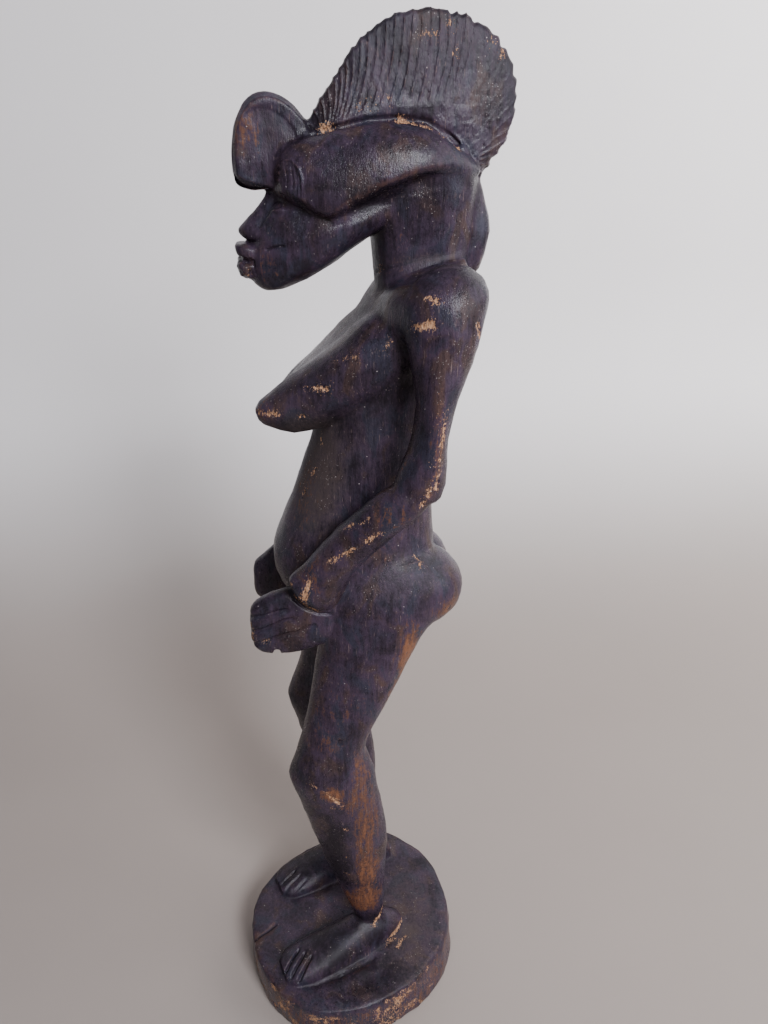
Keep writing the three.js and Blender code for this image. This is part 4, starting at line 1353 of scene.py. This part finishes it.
# The darkest stain, which also serves as painted shade in hollows and at the shaded places
DARKEST_STAIN_AND_SHADE = (0.0090, 0.0060, 0.0095)
STAIN_VIOLET = (0.043, 0.027, 0.045)
STAIN_BROWN = (0.056, 0.033, 0.031)
STAIN_BLUE = (0.027, 0.025, 0.040)
STAIN_DRY = (0.050, 0.036, 0.035)
WOOD_BROWN = (0.080, 0.036, 0.024)
WOOD_ORANGE = (0.170, 0.070, 0.034)
WOOD_BARE = (0.44, 0.25, 0.14)
WOOD_BARE_DARK = (0.17, 0.075, 0.036)
EDGE_DRY = (0.22, 0.155, 0.14)
DUST = (0.42, 0.38, 0.36)


def stained_wood():
    """Dark stain over a warm wood, rubbed through on the shins and edges and chipped to bare wood."""
    m = Shader("dark_stained_wood")
    bare, rubbed, dry, relief = (m.attribute(n) for n in ("bare", "rubbed", "dry", "relief"))
    fibre = m.noise(m.millimetres((1, 1, 14)), 0.5, detail=3)
    streak = m.noise(m.millimetres((1, 1, 9)), 1.9, detail=4, distortion=0.3)
    cloud = m.noise(m.millimetres(), 17, detail=4, roughness=0.6, distortion=0.6)
    tint = m.noise(m.millimetres((1, 1, 1.8)), 12, detail=4, roughness=0.55, distortion=0.6)
    mottle = m.noise(m.millimetres(), 2.6, detail=4, roughness=0.7)
    grit = m.noise(m.millimetres((1, 1, 2)), 0.8, detail=3, roughness=0.75)

    worn = m.mix(m.step(tint, 0.36, 0.50), STAIN_BLUE, STAIN_VIOLET)
    worn = m.mix(m.step(tint, 0.51, 0.66), worn, STAIN_BROWN)
    # Below nought the rubbed attribute draws the stain darker, as thick stain and as painted shade under
    # the head, jaw and breast and between arm and body
    thin = m.sum((cloud, 1.2), (streak, 0.8), (mottle, 0.45), (grit, 0.4), (fibre, 0.3), (rubbed, 0.4),
                 -1.58)
    colour = m.mix(m.step(thin, -0.45, 0.40), DARKEST_STAIN_AND_SHADE, worn)
    dryness = m.sum((dry, 1.0), (streak, 0.6), (grit, 0.6), (mottle, 0.6), -0.9)
    dried = m.step(dryness, 0.2, 0.95)
    colour = m.mix(dried, colour, STAIN_DRY)
    edges = m.step(m.sum((relief, 2.2), (mottle, 0.9), (grit, 0.7), -0.9), 0.2, 0.7)
    colour = m.mix(m.times(edges, 0.38), colour, m.mix(dried, WOOD_BROWN, EDGE_DRY))
    rub = m.sum((rubbed, 1.0), (streak, 1.6), (mottle, 1.1), (grit, 0.8), (fibre, 0.5), -2.12)
    colour = m.mix(m.step(rub, 0.3, 0.65), colour, WOOD_BROWN)
    rubbed_through = m.step(rub, 0.6, 1.1)
    colour = m.mix(rubbed_through, colour, WOOD_ORANGE)
    # Painted shade: hollows and grooves darkened toward the dark stain
    hollow = m.step(relief, -0.06, -0.5)
    colour = m.mix(m.times(hollow, 0.6), colour, DARKEST_STAIN_AND_SHADE)
    scratch = m.noise(m.millimetres((1, 1, 22), (0.5, 0.25, 0)), 0.7, detail=1)
    across = m.noise(m.millimetres((1, 1, 18), (-1.1, 0.6, 0)), 0.8, detail=1)
    scratches = m.sum((m.step(scratch, 0.69, 0.75), 0.4), (m.step(across, 0.70, 0.76), 0.35))
    colour = m.mix(m.times(scratches, m.step(cloud, 0.4, 0.6)), colour, EDGE_DRY)
    chip = m.step(m.sum((bare, 1.0), (mottle, 5.0), (grit, 8.0), -6.6), 0.0, 0.6)
    crumbs = m.times(m.step(m.cells(m.millimetres(), 1.3), 0.22, 0.14), m.step(bare, -3.4, -0.6))
    crumbs = m.times(crumbs, m.step(grit, 0.46, 0.56))
    chip = m.add("ShaderNodeMath", {0: chip, 1: crumbs}, operation="MAXIMUM")
    fresh = m.mix(m.step(m.sum((fibre, 0.6), (grit, 0.6), -0.1), 0.38, 0.6), WOOD_BARE_DARK, WOOD_BARE)
    colour = m.mix(chip, colour, fresh)
    specks = m.times(m.step(m.cells(m.millimetres(), 3.4), 0.1, 0.06), m.step(mottle, 0.53, 0.58))
    fine = m.times(m.step(m.cells(m.millimetres(), 1.5), 0.17, 0.1), m.step(tint, 0.54, 0.62))
    colour = m.mix(m.sum((specks, 0.7), (fine, 0.45)), colour, DUST)

    rough = m.sum((mottle, 0.4), (grit, 0.25), (fibre, 0.1), (dry, 0.7), (rubbed_through, 0.15),
                  (chip, 0.35), (hollow, 0.15), -0.06)
    height = m.sum((fibre, 0.6), (streak, 0.3), (mottle, 0.8), (grit, 0.5), (chip, -0.5),
                   (scratches, -0.5))
    m.shader(Base_Color=colour, Roughness=rough, Normal=m.bump(height, 0.4, 0.6))
    m.shader(Specular_IOR_Level=0.24, Coat_Weight=0.0)
    return m.material


skin.data.materials.clear()
skin.data.materials.append(stained_wood())

# Camera, floor and light

LENS = 27.04
camera_data = bpy.data.cameras.new("camera")
camera_data.lens = LENS
camera_data.sensor_fit = "VERTICAL"
camera_data.sensor_height = 36
camera = bpy.data.objects.new("camera", camera_data)
camera.location = (0.37543, -0.01940, 0.5610)
camera.rotation_euler = (math.radians(62.9), 0, math.radians(83))
bpy.context.scene.collection.objects.link(camera)
bpy.context.scene.camera = camera

COVE_BACK = -0.62
COVE_RADIUS = 0.4
COVE_WIDTH = 5


def cove():
    """A pale floor that sweeps up into a pale wall behind the figure."""
    profile = [(3.0, 0.0)]
    for step in range(25):
        turn = math.radians(90 * step / 24)
        profile.append((COVE_BACK + COVE_RADIUS * (1 - math.sin(turn)),
                        COVE_RADIUS * (1 - math.cos(turn))))
    profile.append((COVE_BACK, 4.0))
    verts = [(x, y, z) for y in (-COVE_WIDTH, COVE_WIDTH) for x, z in profile]
    count = len(profile)
    faces = [(i, i + 1, count + i + 1, count + i) for i in range(count - 1)]
    made = link(mesh_from(verts, faces, "backdrop"), "backdrop")
    made.data.shade_smooth()
    pale = Shader("pale_plaster")
    tone = pale.noise(pale.millimetres(), 260, detail=3)
    shelf = pale.mix(tone, (0.275, 0.234, 0.208), (0.31, 0.268, 0.238))
    wall = pale.mix(tone, (0.78, 0.75, 0.74), (0.84, 0.82, 0.81))
    height = pale.add("ShaderNodeSeparateXYZ", {"Vector": pale.millimetres()}, output="Z")
    pale.shader(Base_Color=pale.mix(pale.step(height, 0, 260), shelf, wall), Roughness=0.9)
    made.data.materials.append(pale.material)


cove()

world = bpy.data.worlds.new("studio")
world.use_nodes = True
world.node_tree.nodes["Background"].inputs["Color"].default_value = (0.90, 0.90, 1.0, 1)
world.node_tree.nodes["Background"].inputs["Strength"].default_value = 0.27
bpy.context.scene.world = world


def area_light(name, place, aim, size, power, colour):
    data = bpy.data.lights.new(name, "AREA")
    data.shape = "RECTANGLE"
    data.size, data.size_y = size
    data.energy = power
    data.color = colour
    light = bpy.data.objects.new(name, data)
    light.location = place
    way = np.array(aim) - np.array(place)
    light.rotation_euler = (math.atan2(math.hypot(way[0], way[1]), -way[2]), 0,
                            math.atan2(way[1], way[0]) - math.pi / 2)
    bpy.context.scene.collection.objects.link(light)


area_light("window", (1.10, 0.46, 1.18), (0, 0, 0.45), (0.45, 0.5), 33, (0.92, 0.93, 1.0))
area_light("side", (0.75, 1.25, 0.55), (0, 0, 0.4), (0.4, 0.7), 7, (0.88, 0.90, 1.0))
area_light("room", (1.7, -0.5, 0.7), (0, 0, 0.35), (1.6, 1.6), 2.5, (1.0, 0.96, 0.94))
area_light("wall_wash", (-0.08, 0.95, 0.9), (-0.62, 0.9, 0.5), (0.9, 0.9), 13, (1.0, 0.98, 0.98))
